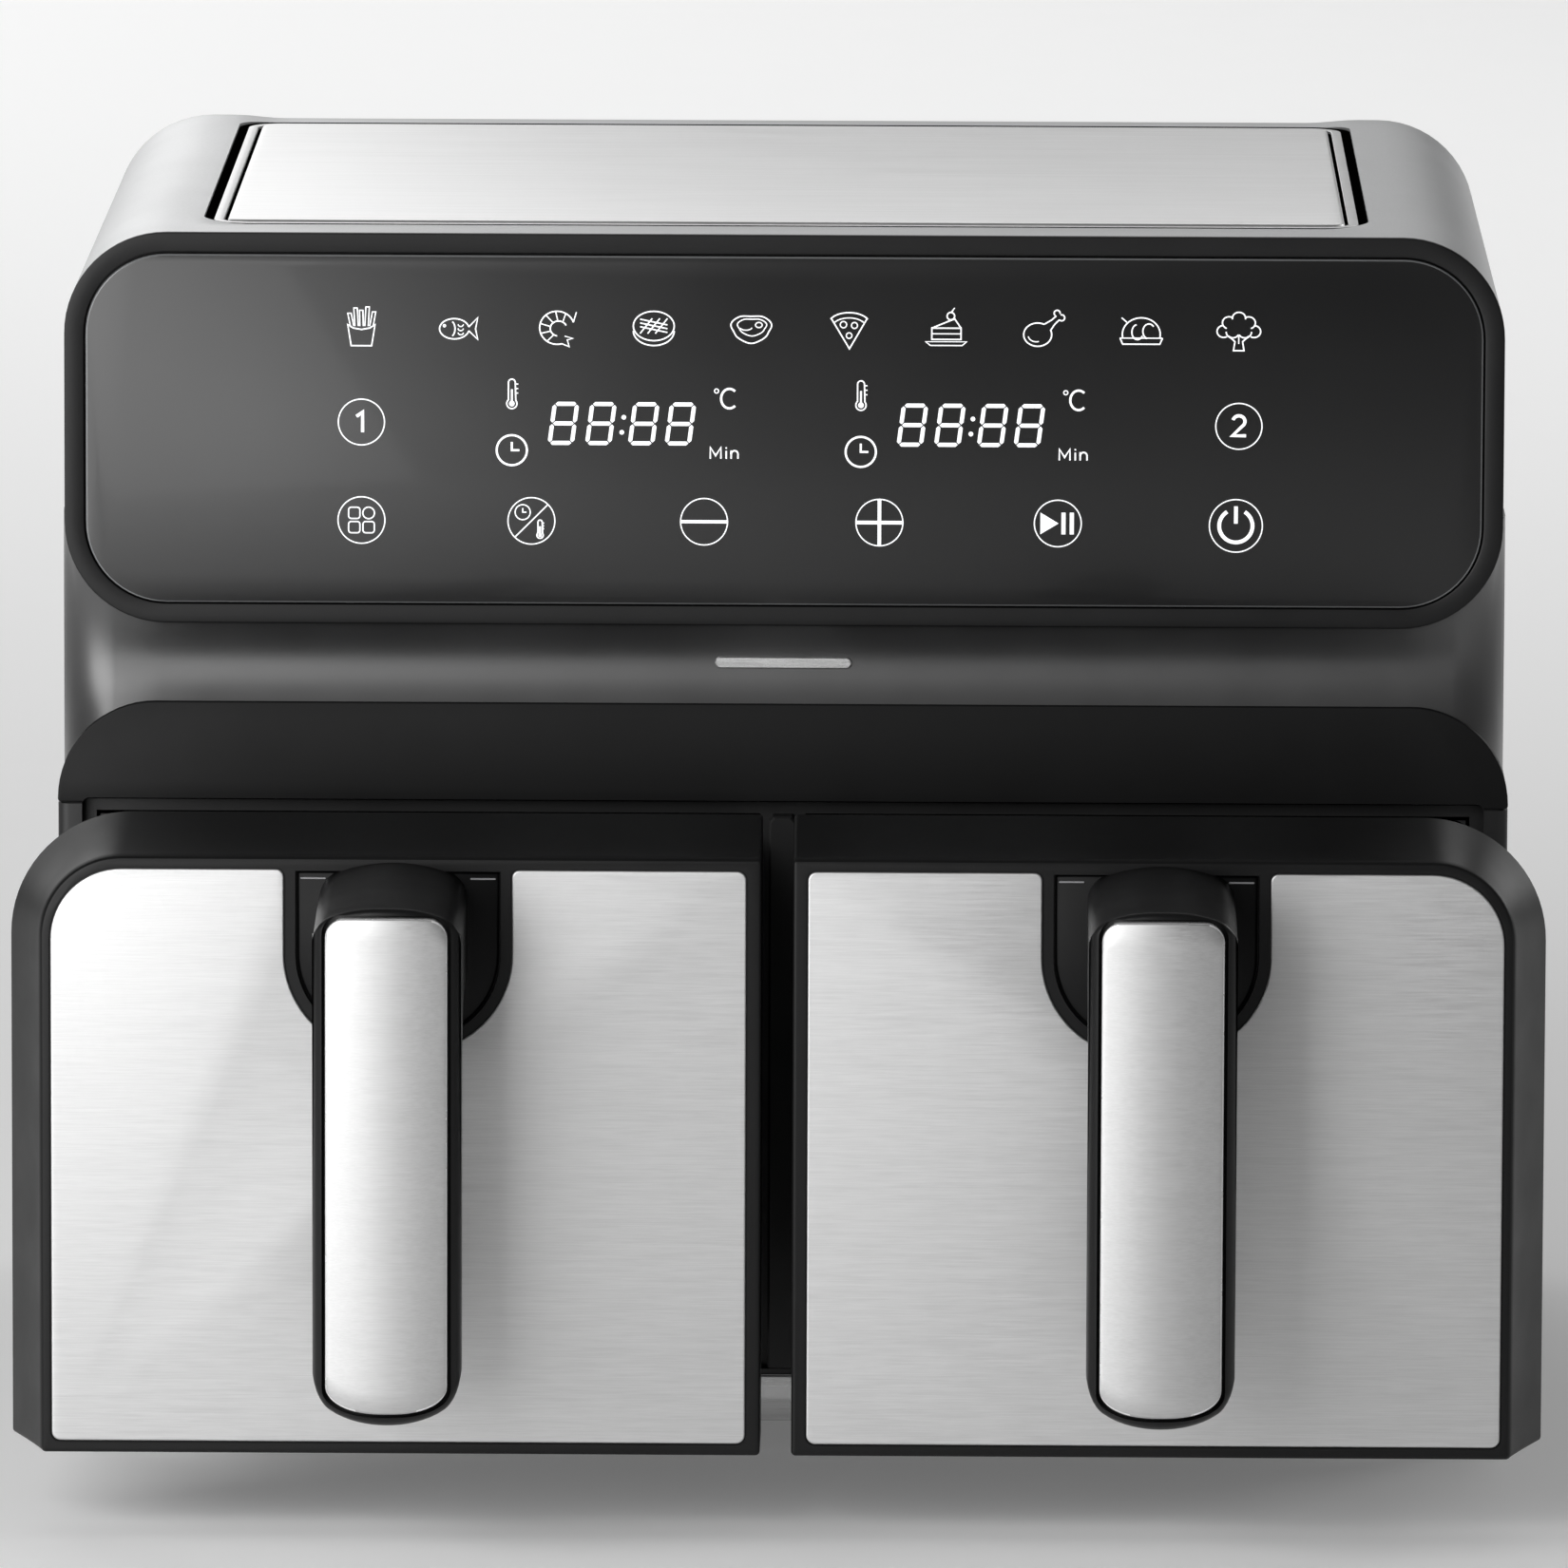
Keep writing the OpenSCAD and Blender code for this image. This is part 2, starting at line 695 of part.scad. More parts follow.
module face_panel(side) {
  color([0.78, 0.78, 0.78]) in_frame() on_side(side) pulled()
    along_y(face_y - 0.3, face_y - 0.3 + panel_t) difference() {
      panel_outline(0);
      recess_outline(0);
    }
}

module handle_plate(side) {
  color([0.1, 0.1, 0.1]) in_frame() on_side(side) pulled() difference() {
    along_y(plate_y, plate_y + plate_t) recess_outline(recess_rim + part_gap);
    handle_screw_axes() cylinder(r = handle_screw_r, h = handle_screw_len);
  }
}

// Side view of a handle: the arm at the top and the grip hanging from its front
module handle_side_view() {
  fillet = 12;
  inner_y = grip_y + grip_t;
  translate([grip_y, grip_z0]) square([grip_t, grip_z1 - grip_z0]);
  translate([grip_y + 6, arm_z]) square([plate_y - grip_y - 6, drawer_top - 0.8 - arm_z]);
  difference() {
    translate([inner_y - eps, arm_z - fillet]) square([fillet + eps, fillet + eps]);
    translate([inner_y + fillet, arm_z - fillet]) circle(fillet);
  }
}

module grip_outline(inset) {
  half = handle_w / 2 - inset;
  rounded(handle_x - half, handle_x + half, grip_z0 + inset, drawer_top, [11 - inset, 11 - inset, 9, 9]);
}

// Runs its children along the screws of a handle, from the drawer front's inner wall outwards
module handle_screw_axes() {
  for (z = [arm_z + 9, arm_z + arm_h - 10])
    translate([handle_x, face_y + front_wall_t + plate_t, z]) rotate([90, 0, 0]) children();
}

module bowed_front(radius, front) {
  translate([handle_x, front + radius, 0]) cylinder(r = radius, h = body_h, $fn = 256);
}

module cap_outline(inset) {
  half = handle_w / 2 - cap_rim - inset;
  rounded(handle_x - half, handle_x + half, grip_z0 + cap_rim + inset, grip_z1 - 2.9 - inset,
          [8 - inset, 8 - inset, 5.5 - inset, 5.5 - inset]);
}

module handle(side) {
  color([0.07, 0.07, 0.07]) in_frame() on_side(side) pulled() difference() {
    intersection() {
      along_x(handle_x - handle_w / 2, handle_x + handle_w / 2) handle_side_view();
      along_y(grip_y - 1, plate_y) grip_outline(0);
      bowed_front(grip_bow, grip_y);
    }
    along_y(grip_y - 1, grip_y + 4) cap_outline(-0.8);
    box(drawer_x0, drawer_x1, face_y, 0, panel_z1 - 1.2, body_h);
    handle_screw_axes() cylinder(r = handle_screw_r, h = handle_screw_len);
  }
}

module handle_cap(side) {
  color([0.8, 0.8, 0.8]) in_frame() on_side(side) pulled() intersection() {
    along_y(grip_y - 1, grip_y + 4) cap_outline(0);
    bowed_front(grip_bow, grip_y);
  }
}

module handle_screws(side) {
  color([0.6, 0.6, 0.6]) in_frame() on_side(side) pulled() handle_screw_axes() {
    cylinder(r = handle_screw_r, h = handle_screw_len);
    translate([0, 0, -3]) cylinder(r = 2 * handle_screw_r, h = 3);
  }
}

module drawer_magnet(side) {
  color([0.5, 0.5, 0.52]) in_frame() on_side(side) pulled()
    translate([drawer_x0 + 12, -close_gap - rear_plate_t - 5, 142]) rotate([-90, 0, 0]) cylinder(r = 5, h = 5);
}

// ---- Pans and crisper trays --------------------------------------------------------

module pan_section(inset, top) {
  r = pan_r - inset;
  rounded(pan_x0 + inset, pan_x1 - inset, pan_z0 + inset, top, [r, r, 0, 0]);
}

module pan(side) {
  color([0.16, 0.16, 0.17]) in_frame() on_side(side) pulled() difference() {
    union() {
      along_y(-close_gap, pan_back) pan_section(0, pan_z1);
      box(pan_x0 - rim_w, pan_x1 + rim_w, -close_gap, pan_back + rim_w, pan_z1 - 1.5, pan_z1);
    }
    along_y(0, pan_back - pan_t) pan_section(pan_t, pan_z1 + eps);
  }
}

tray_x0 = pan_x0 + pan_t + 1;
tray_x1 = pan_x1 - pan_t - 1;
tray_y0 = 1;
tray_y1 = pan_back - pan_t - 1;
tray_rim = 9;

module crisper_tray(side) {
  columns = 7;
  rows = 9;
  step_x = (tray_x1 - tray_x0 - 22) / columns;
  step_y = (tray_y1 - tray_y0 - 22) / rows;
  color([0.18, 0.18, 0.19]) in_frame() on_side(side) pulled() difference() {
    box(tray_x0, tray_x1, tray_y0, tray_y1, tray_z, tray_z + tray_rim);
    box(tray_x0 + 1.5, tray_x1 - 1.5, tray_y0 + 1.5, tray_y1 - 1.5, tray_z + 1.5, tray_z + tray_rim + eps);
    for (i = [0 : columns - 1], j = [0 : rows - 1])
      translate([tray_x0 + 11 + (i + 0.5) * step_x, tray_y0 + 11 + (j + 0.5) * step_y, tray_z - eps])
        cylinder(r = tray_hole_r, h = 3);
  }
}

module tray_bumpers(side) {
  foot_z = pan_z0 + pan_t + slide_gap;
  inset = 14;
  color([0.12, 0.12, 0.12]) in_frame() on_side(side) pulled()
    for (x = [tray_x0 + inset, tray_x1 - inset], y = [tray_y0 + 6, tray_y1 - 6])
      translate([x, y, foot_z]) cylinder(r = 4.5, h = tray_z - foot_z);
}

top_shell();
top_seat();
top_trim_ring();
top_plate();
front_housing();
control_glass();
front_badge();
lower_body();
base_trim();
base_pan();
feet();
rear_cover();
cord_gland();
control_board();
power_board();
motor_deck();
housing_screws();
cavity("left");  // left_cavity
cavity("right");  // right_cavity
heating_element("left");  // left_heating_element
heating_element("right");  // right_heating_element
element_guard("left");  // left_element_guard
element_guard("right");  // right_element_guard
motor("left");  // left_motor
motor("right");  // right_motor
fan_shaft("left");  // left_fan_shaft
fan_shaft("right");  // right_fan_shaft
hot_air_fan("left");  // left_hot_air_fan
hot_air_fan("right");  // right_hot_air_fan
cooling_fan("left");  // left_cooling_fan
cooling_fan("right");  // right_cooling_fan
temperature_sensor("left");  // left_temperature_sensor
temperature_sensor("right");  // right_temperature_sensor
drawer_sensor("left");  // left_drawer_sensor
drawer_sensor("right");  // right_drawer_sensor
drawer_front("left");  // left_drawer_front
drawer_front("right");  // right_drawer_front
rear_plate("left");  // left_rear_plate
rear_plate("right");  // right_rear_plate
face_panel("left");  // left_face_panel
face_panel("right");  // right_face_panel
handle_plate("left");  // left_handle_plate
handle_plate("right");  // right_handle_plate
handle("left");  // left_handle
handle("right");  // right_handle
handle_cap("left");  // left_handle_cap
handle_cap("right");  // right_handle_cap
handle_screws("left");  // left_handle_screws
handle_screws("right");  // right_handle_screws
drawer_magnet("left");  // left_drawer_magnet
drawer_magnet("right");  // right_drawer_magnet
pan("left");  // left_pan
pan("right");  // right_pan
crisper_tray("left");  // left_crisper_tray
crisper_tray("right");  // right_crisper_tray
tray_bumpers("left");  // left_tray_bumpers
tray_bumpers("right");  // right_tray_bumpers
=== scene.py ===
import math

import bmesh
import bpy
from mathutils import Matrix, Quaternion, Vector


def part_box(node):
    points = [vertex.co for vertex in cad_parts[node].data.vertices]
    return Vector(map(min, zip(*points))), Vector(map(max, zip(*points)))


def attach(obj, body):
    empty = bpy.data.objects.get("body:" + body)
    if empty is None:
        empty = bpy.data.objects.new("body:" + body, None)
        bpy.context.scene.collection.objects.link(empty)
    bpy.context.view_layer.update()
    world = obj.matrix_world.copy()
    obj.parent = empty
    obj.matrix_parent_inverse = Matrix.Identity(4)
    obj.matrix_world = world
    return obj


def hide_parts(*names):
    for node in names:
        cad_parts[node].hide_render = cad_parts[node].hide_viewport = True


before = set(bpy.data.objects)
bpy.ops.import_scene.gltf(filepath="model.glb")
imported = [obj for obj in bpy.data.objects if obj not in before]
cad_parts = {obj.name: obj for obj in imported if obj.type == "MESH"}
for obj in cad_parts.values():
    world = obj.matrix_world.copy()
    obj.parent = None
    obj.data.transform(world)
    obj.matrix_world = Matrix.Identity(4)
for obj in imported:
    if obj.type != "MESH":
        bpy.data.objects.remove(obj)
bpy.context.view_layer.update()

# ---- Sizes in millimetres, measured from the control face, the underside and the middle ----------

MM = 0.001
FACE_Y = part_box("front_housing")[0].y
UNDER_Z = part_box("base_pan")[0].z


def span(node):
    """x0, x1, y0, y1, z0, z1 of a CAD node"""
    lo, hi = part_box(node)
    shift = (0.0, FACE_Y, UNDER_Z)
    return [round((corner[i] - shift[i]) / MM, 3) for i in range(3) for corner in (lo, hi)]


def row_point(x, y, z):
    return Vector((x * MM, y * MM + FACE_Y, z * MM + UNDER_Z))


_, HALF_W, _, BACK_Y, SEAM_Z, TOP_Z = span("top_shell")
_, GLASS_X, GLASS_Y, _, GLASS_Z0, GLASS_Z1 = span("control_glass")
BEZEL = HALF_W - GLASS_X
HEAD_Z = GLASS_Z0 - BEZEL
_, BODY_X, _, _, BASE_Z, _ = span("lower_body")
LEDGE_Z = SEAM_Z + 27
CORNER = 27
SHELL_T = 2
WRAP_Y = 40
SHELL_LOW = HEAD_Z + CORNER
COVER = span("rear_cover")
FRONT = span("right_drawer_front")
PANEL = span("right_face_panel")
HANDLE = span("right_handle")
CAP = span("right_handle_cap")
PAN = span("right_pan")
TRAY = span("right_crisper_tray")
CAVITY = span("right_cavity")
PLATE = span("top_plate")
SEAT = span("top_seat")
HANDLE_X = (HANDLE[0] + HANDLE[1]) / 2
FAN = span("right_hot_air_fan")
FAN_X, FAN_Y = (FAN[0] + FAN[1]) / 2, (FAN[2] + FAN[3]) / 2


# ---- Finishes ----------------------------------------------------------------------------------

def finish(name, colour, rough, metallic=0.0, **sockets):
    """A new finish with even values; its pattern comes from the calls below"""
    mat = bpy.data.materials.new(name)
    mat.use_nodes = True
    shader = mat.node_tree.nodes["Principled BSDF"]
    shader.inputs["Base Color"].default_value = (*colour, 1)
    shader.inputs["Roughness"].default_value = rough
    shader.inputs["Metallic"].default_value = metallic
    for label, value in sockets.items():
        shader.inputs[label.replace("_", " ")].default_value = value
    return mat


def node(mat, kind, inputs=None, **settings):
    made = mat.node_tree.nodes.new(kind)
    for label, value in settings.items():
        setattr(made, label, value)
    for label, value in (inputs or {}).items():
        if isinstance(value, bpy.types.NodeSocket):
            mat.node_tree.links.new(value, made.inputs[label])
        else:
            made.inputs[label].default_value = value
    return made


def grain(mat, size, detail=2.0, roughness=0.5, offset=0.0):
    """Noise whose features have this size in millimetres, or three sizes along X, Y and Z"""
    sizes = size if isinstance(size, tuple) else (size, size, size)
    place = node(mat, "ShaderNodeTexCoord").outputs["Object"]
    scaled = node(mat, "ShaderNodeMapping", {"Vector": place, "Location": (offset, offset, offset),
                                             "Scale": tuple(1 / (s * MM) for s in sizes)})
    return node(mat, "ShaderNodeTexNoise", {"Vector": scaled.outputs["Vector"], "Scale": 1.0,
                                            "Detail": detail, "Roughness": roughness}).outputs["Fac"]


def spread(mat, value, low, high, lowest=0.3, highest=0.7):
    return node(mat, "ShaderNodeMapRange", {"Value": value, "From Min": lowest, "From Max": highest,
                                            "To Min": low, "To Max": high}).outputs["Result"]


def shader_of(mat):
    return mat.node_tree.nodes["Principled BSDF"]


def vary_roughness(mat, value, low, high):
    mat.node_tree.links.new(spread(mat, value, low, high), shader_of(mat).inputs["Roughness"])


def vary_colour(mat, value, dark, light, lowest=0.3, highest=0.7):
    share = spread(mat, value, 0.0, 1.0, lowest, highest)
    mixed = node(mat, "ShaderNodeMix", data_type="RGBA")
    mat.node_tree.links.new(share, mixed.inputs[0])
    mixed.inputs[6].default_value = (*dark, 1)
    mixed.inputs[7].default_value = (*light, 1)
    mat.node_tree.links.new(mixed.outputs[2], shader_of(mat).inputs["Base Color"])


def relief(mat, value, height):
    """Bumps of this height in millimetres, on top of those already there"""
    normal = shader_of(mat).inputs["Normal"]
    inputs = {"Height": value, "Distance": height * MM, "Strength": 1.0}
    if normal.is_linked:
        inputs["Normal"] = normal.links[0].from_socket
    bump = node(mat, "ShaderNodeBump", inputs)
    mat.node_tree.links.new(bump.outputs["Normal"], normal)


def brushed(name, tone, rough, length, line, depth):
    """Steel with fine lines along X, of this length and width and depth in millimetres"""
    mat = finish(name, (tone, tone, tone), rough, 1.0)
    lines = grain(mat, (length, line, line), 3.0, 0.62)
    streaks = grain(mat, (length * 5, line * 5, line * 5), 2.0, 0.5, 3.1)
    both = node(mat, "ShaderNodeMath", {0: lines, 1: spread(mat, streaks, -0.06, 0.06)}, operation="ADD")
    vary_colour(mat, both.outputs["Value"], (tone * 0.93,) * 3, (min(1, tone * 1.05),) * 3, 0.32, 0.68)
    vary_roughness(mat, lines, rough - 0.05, rough + 0.07)
    relief(mat, lines, depth)
    return mat


def moulded(name, colour, rough, size, depth, **sockets):
    """Moulded plastic with a fine spark-eroded texture"""
    mat = finish(name, colour, rough, **sockets)
    fine = grain(mat, size, 2.0, 0.6)
    cloud = grain(mat, 22.0, 3.0, 0.55, 1.7)
    vary_colour(mat, cloud, tuple(c * 0.93 for c in colour), tuple(min(1, c * 1.07) for c in colour))
    vary_roughness(mat, cloud, rough - 0.03, rough + 0.04)
    relief(mat, fine, depth)
    return mat


def sheet_metal(name, tone, rough, spots):
    """Plain or plated sheet with faint cloudy spangle"""
    colour = tone if isinstance(tone, tuple) else (tone, tone, tone)
    mat = finish(name, colour, rough, 1.0)
    spangle = node(mat, "ShaderNodeTexVoronoi", {"Vector": node(mat, "ShaderNodeTexCoord").outputs["Object"],
                                                 "Scale": 1 / (spots * MM)})
    vary_colour(mat, spangle.outputs["Distance"], tuple(c * 0.85 for c in colour), colour, 0.0, 0.8)
    vary_roughness(mat, grain(mat, spots, 2.0), rough - 0.06, rough + 0.08)
    relief(mat, grain(mat, 0.8, 2.0), 0.006)
    return mat


silver_shell = finish("silver_shell", (0.60, 0.605, 0.61), 0.44, 0.85, Coat_Weight=0.15, Coat_Roughness=0.2)
vary_colour(silver_shell, grain(silver_shell, 0.35, 2.0), (0.57, 0.575, 0.58), (0.64, 0.645, 0.65))
vary_roughness(silver_shell, grain(silver_shell, 30.0, 3.0, 0.5, 2.0), 0.42, 0.47)
relief(silver_shell, grain(silver_shell, 0.5, 2.0, 0.6), 0.004)

face_steel = brushed("face_steel", 0.67, 0.48, 12.0, 0.34, 0.016)
plate_steel = brushed("plate_steel", 0.84, 0.40, 34.0, 0.4, 0.008)
cap_steel = brushed("cap_steel", 0.60, 0.48, 9.0, 0.3, 0.012)
trim_steel = brushed("trim_steel", 0.72, 0.3, 40.0, 0.4, 0.008)
satin_trim = brushed("satin_trim", 0.74, 0.36, 60.0, 0.3, 0.003)

black_housing = moulded("black_housing", (0.006, 0.006, 0.0063), 0.42, 0.5, 0.006, Specular_IOR_Level=0.3)
black_neck = moulded("black_neck", (0.021, 0.021, 0.0215), 0.40, 0.5, 0.004, Specular_IOR_Level=1.0,
                     Coat_Weight=0.9, Coat_Roughness=0.42)
black_body = moulded("black_body", (0.008, 0.008, 0.0083), 0.48, 0.7, 0.014)
black_frame = moulded("black_frame", (0.005, 0.005, 0.0052), 0.40, 0.6, 0.008, Specular_IOR_Level=0.26)
black_grip = moulded("black_grip", (0.005, 0.005, 0.0052), 0.36, 0.6, 0.006, Specular_IOR_Level=0.28)
black_recess = moulded("black_recess", (0.003, 0.003, 0.0032), 0.45, 0.6, 0.008, Specular_IOR_Level=0.16)
black_ledge = moulded("black_ledge", (0.005, 0.005, 0.0052), 0.50, 0.6, 0.006, Specular_IOR_Level=0.22)
# Near-black with no reflection for the seat round the top plate: partly the seat's black plastic, partly
# painted shade standing in for the deep groove round the plate
black_seat = moulded("black_seat", (0.0012, 0.0012, 0.0012), 0.6, 0.6, 0.008, Specular_IOR_Level=0.0)
base_plastic = moulded("base_plastic", (0.020, 0.020, 0.0205), 0.5, 0.9, 0.018)
cover_plastic = moulded("cover_plastic", (0.018, 0.018, 0.0185), 0.5, 0.8, 0.016)
gland_rubber = moulded("gland_rubber", (0.015, 0.015, 0.015), 0.62, 0.9, 0.02)
foot_rubber = moulded("foot_rubber", (0.022, 0.022, 0.022), 0.7, 0.8, 0.03)
silicone = moulded("silicone", (0.03, 0.03, 0.031), 0.6, 1.2, 0.01)
white_plastic = moulded("white_plastic", (0.72, 0.70, 0.65), 0.45, 0.9, 0.01)

black_glass = finish("black_glass", (0.004, 0.004, 0.0043), 0.3, 0.0, Specular_IOR_Level=0.6, Coat_Weight=0.1,
                     Coat_Roughness=0.05)
vary_roughness(black_glass, grain(black_glass, 60.0, 2.0), 0.285, 0.315)
relief(black_glass, grain(black_glass, 45.0, 1.0), 0.004)

symbol_white = finish("symbol_white", (0.93, 0.94, 0.95), 0.5, 0.0, Emission_Strength=0.55)
shader_of(symbol_white).inputs["Emission Color"].default_value = (0.95, 0.97, 1.0, 1)
vary_roughness(symbol_white, grain(symbol_white, 1.5), 0.45, 0.55)

# Mid grey for two short bars at the top of each recess plate: a painted highlight standing in for light
# caught on the plate's top edge
line_grey = moulded("line_grey", (0.30, 0.30, 0.31), 0.4, 0.6, 0.004)
# Light grey, half-metal finish for the faces round the edge of each handle cap: a painted highlight that
# makes the rim read as a bright line, lighter than the cap's own steel
polished_edge = finish("polished_edge", (0.93, 0.93, 0.93), 0.3, 0.5)
vary_roughness(polished_edge, grain(polished_edge, 6.0), 0.26, 0.34)
# Grey finish for the rim of the control glass: partly the lighter ground edge of the glass, partly a painted
# highlight along that edge
glass_edge = finish("glass_edge", (0.22, 0.225, 0.23), 0.22, 0.4)
vary_roughness(glass_edge, grain(glass_edge, 8.0), 0.2, 0.26)
badge_metal = brushed("badge_metal", 0.82, 0.25, 8.0, 0.3, 0.003)
liner_sheet = sheet_metal("liner_sheet", 0.42, 0.34, 7.0)
zinc_sheet = sheet_metal("zinc_sheet", (0.55, 0.56, 0.58), 0.36, 9.0)
motor_sheet = sheet_metal("motor_sheet", 0.36, 0.38, 5.0)
fan_sheet = sheet_metal("fan_sheet", 0.74, 0.3, 4.0)
shaft_steel = brushed("shaft_steel", 0.66, 0.2, 0.3, 6.0, 0.002)
element_steel = sheet_metal("element_steel", (0.16, 0.135, 0.12), 0.5, 3.0)
guard_wire = sheet_metal("guard_wire", 0.66, 0.22, 4.0)
screw_zinc = sheet_metal("screw_zinc", (0.50, 0.50, 0.52), 0.3, 2.0)
magnet_nickel = sheet_metal("magnet_nickel", 0.55, 0.18, 2.0)

nonstick = finish("nonstick", (0.035, 0.035, 0.038), 0.42, 0.25)
vary_colour(nonstick, grain(nonstick, 0.5, 1.0), (0.028, 0.028, 0.030), (0.075, 0.075, 0.08), 0.45, 0.8)
vary_roughness(nonstick, grain(nonstick, 12.0, 3.0), 0.38, 0.48)
relief(nonstick, grain(nonstick, 0.9, 2.0), 0.010)

circuit_green = finish("circuit_green", (0.015, 0.09, 0.045), 0.35)
weave = grain(circuit_green, (9.0, 1.4, 1.4), 0.0)
vary_colour(circuit_green, weave, (0.010, 0.065, 0.033), (0.03, 0.15, 0.08), 0.48, 0.52)
relief(circuit_green, weave, 0.02)

floor_white = finish("floor_white", (0.93, 0.93, 0.93), 0.75, 0.0, Specular_IOR_Level=0.2,
                     Emission_Strength=0.12)
shader_of(floor_white).inputs["Emission Color"].default_value = (1, 1, 1, 1)
vary_roughness(floor_white, grain(floor_white, 40.0, 2.0), 0.72, 0.8)


# ---- Loops, lofts and pieces ------------------------------------------------------------

def arc(x, z, radius, start, end, steps):
    """Points of an arc, in degrees, ends included"""
    turns = [math.radians(start + (end - start) * i / steps) for i in range(steps + 1)]
    return [(x + radius * math.cos(t), z + radius * math.sin(t)) for t in turns]


def round_loop(x0, x1, z0, z1, radii, steps):
    """A rectangle with its own radius at each corner: lower left, lower right, upper right, upper left"""
    a, b, c, d = [max(r, 0.02) for r in radii]
    return (arc(x0 + a, z0 + a, a, 180, 270, steps) + arc(x1 - b, z0 + b, b, 270, 360, steps)
            + arc(x1 - c, z1 - c, c, 0, 90, steps) + arc(x0 + d, z1 - d, d, 90, 180, steps))


def inset(loop, by):
    """The loop moved inwards, point by point"""
    moved = []
    for i, (x, z) in enumerate(loop):
        px, pz = loop[i - 1]
        nx, nz = loop[(i + 1) % len(loop)]
        a, b = Vector((x - px, z - pz)), Vector((nx - x, nz - z))
        if a.length < 1e-9 or b.length < 1e-9:
            a = b = a + b
        a.normalize()
        b.normalize()
        turn = (a + b).normalized()
        inward = Vector((-turn.y, turn.x))
        stretch = max(0.35, inward.dot(Vector((-a.y, a.x))))
        moved.append((x + inward.x * by / stretch, z + inward.y * by / stretch))
    return moved


def facing_front(u, v, depth):
    return (u, depth, v)


def facing_up(u, v, depth):
    return (u, v, depth)


def edge_layers(start, end, radius, steps=4):
    """Insets and depths of a slab from start to end with its far edge rounded over"""
    way = 1 if end > start else -1
    turns = [math.radians(90 * k / steps) for k in range(steps + 1)]
    edge = [(radius * (1 - math.cos(t)), end - way * radius * (1 - math.sin(t))) for t in turns]
    return [(0.0, start)] + edge


class Shape:
    """Closed solids that become one piece"""

    def __init__(self):
        self.points, self.faces = [], []

    def rings(self, rings, closed=False):
        """Joins rings of the same number of points, with flat ends unless closed"""
        first, count = len(self.points), len(rings[0])
        for ring in rings:
            self.points += ring
        last = len(rings) if closed else len(rings) - 1
        for k in range(last):
            a, b = first + k * count, first + (k + 1) % len(rings) * count
            for i in range(count):
                j = (i + 1) % count
                self.faces.append((a + i, a + j, b + j, b + i))
        if not closed:
            self.faces.append(tuple(first + i for i in reversed(range(count))))
            self.faces.append(tuple(first + (len(rings) - 1) * count + i for i in range(count)))
        return self

    def slab(self, loop, layers, place=facing_front):
        """A plate whose outline is inset by an amount at each depth"""
        return self.rings([[place(u, v, depth) for u, v in inset(loop, by)] for by, depth in layers])

    def hoop(self, loop, profile, place=facing_front):
        """A closed frame that follows the loop; the profile is insets and depths"""
        return self.rings([[place(u, v, depth) for u, v in inset(loop, by)] for by, depth in profile], True)

    def block(self, x0, x1, y0, y1, z0, z1, radius=0.0):
        """A box with its edges along Z rounded"""
        return self.slab(round_loop(x0, x1, y0, y1, [radius] * 4, 3), [(0, z0), (0, z1)], facing_up)

    def lathe(self, x, y, profile, steps, axis="Z", closed=False):
        """A line of radii and heights turned about an axis through x, y, with flat ends unless closed"""
        rings = []
        for radius, height in profile:
            ring = []
            for k in range(steps):
                t = 2 * math.pi * k / steps
                u, v = radius * math.cos(t), radius * math.sin(t)
                ring.append((x + u, y + v, height) if axis == "Z" else (x + u, height, y + v))
            rings.append(ring)
        return self.rings(rings, closed)


def to_object(shape, name, mat):
    mesh = bpy.data.meshes.new(name)
    mesh.from_pydata([row_point(*p) for p in shape.points], [], shape.faces)
    work = bmesh.new()
    work.from_mesh(mesh)
    bmesh.ops.remove_doubles(work, verts=work.verts, dist=1e-6)
    bmesh.ops.dissolve_degenerate(work, dist=1e-7, edges=work.edges)
    bmesh.ops.recalc_face_normals(work, faces=work.faces)
    work.to_mesh(mesh)
    work.free()
    mesh.materials.append(mat)
    made = bpy.data.objects.new(name, mesh)
    bpy.context.scene.collection.objects.link(made)
    return made


def settle(piece, angle=32):
    """Applies the modifiers, and shades smooth below the angle"""
    graph = bpy.context.evaluated_depsgraph_get()
    mesh = bpy.data.meshes.new_from_object(piece.evaluated_get(graph), preserve_all_data_layers=True,
                                           depsgraph=graph)
    piece.modifiers.clear()
    old, piece.data = piece.data, mesh
    bpy.data.meshes.remove(old)
    mesh.name = piece.name
    mesh.shade_smooth()
    mesh.set_sharp_from_angle(angle=math.radians(angle))
    return piece


def cut(piece, *cutters):
    """Takes the cutters out of the piece"""
    for shape in cutters:
        tool = to_object(shape, "cutter", piece.data.materials[0])
        step = piece.modifiers.new("cut", "BOOLEAN")
        step.object, step.operation, step.solver = tool, "DIFFERENCE", "EXACT"
        settle(piece)
        bpy.data.objects.remove(tool)
    return piece


def housing_piece(piece, slot, *nodes):
    """Hands over a piece that is part of the housing"""
    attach(piece, "housing")
    if nodes:
        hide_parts(*nodes)


def both_sides(piece, slot, body, *nodes):
    """The piece for the right side, and its mirror image for the left. Their names start with the side"""
    mesh = piece.data.copy()
    work = bmesh.new()
    work.from_mesh(mesh)
    for vert in work.verts:
        vert.co.x = -vert.co.x
    bmesh.ops.reverse_faces(work, faces=work.faces)
    work.to_mesh(mesh)
    work.free()
    base = piece.name
    other = bpy.data.objects.new("left_" + base, mesh)
    mesh.name = "left_" + base
    bpy.context.scene.collection.objects.link(other)
    piece.name = piece.data.name = "right_" + base
    for side, one in (("left", other), ("right", piece)):
        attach(one, body if body == "housing" else side + "_" + body)
        if nodes:
            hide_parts(*[side + "_" + n for n in nodes])


# ---- Patterns made with Geometry Nodes -----------------------------------------------------

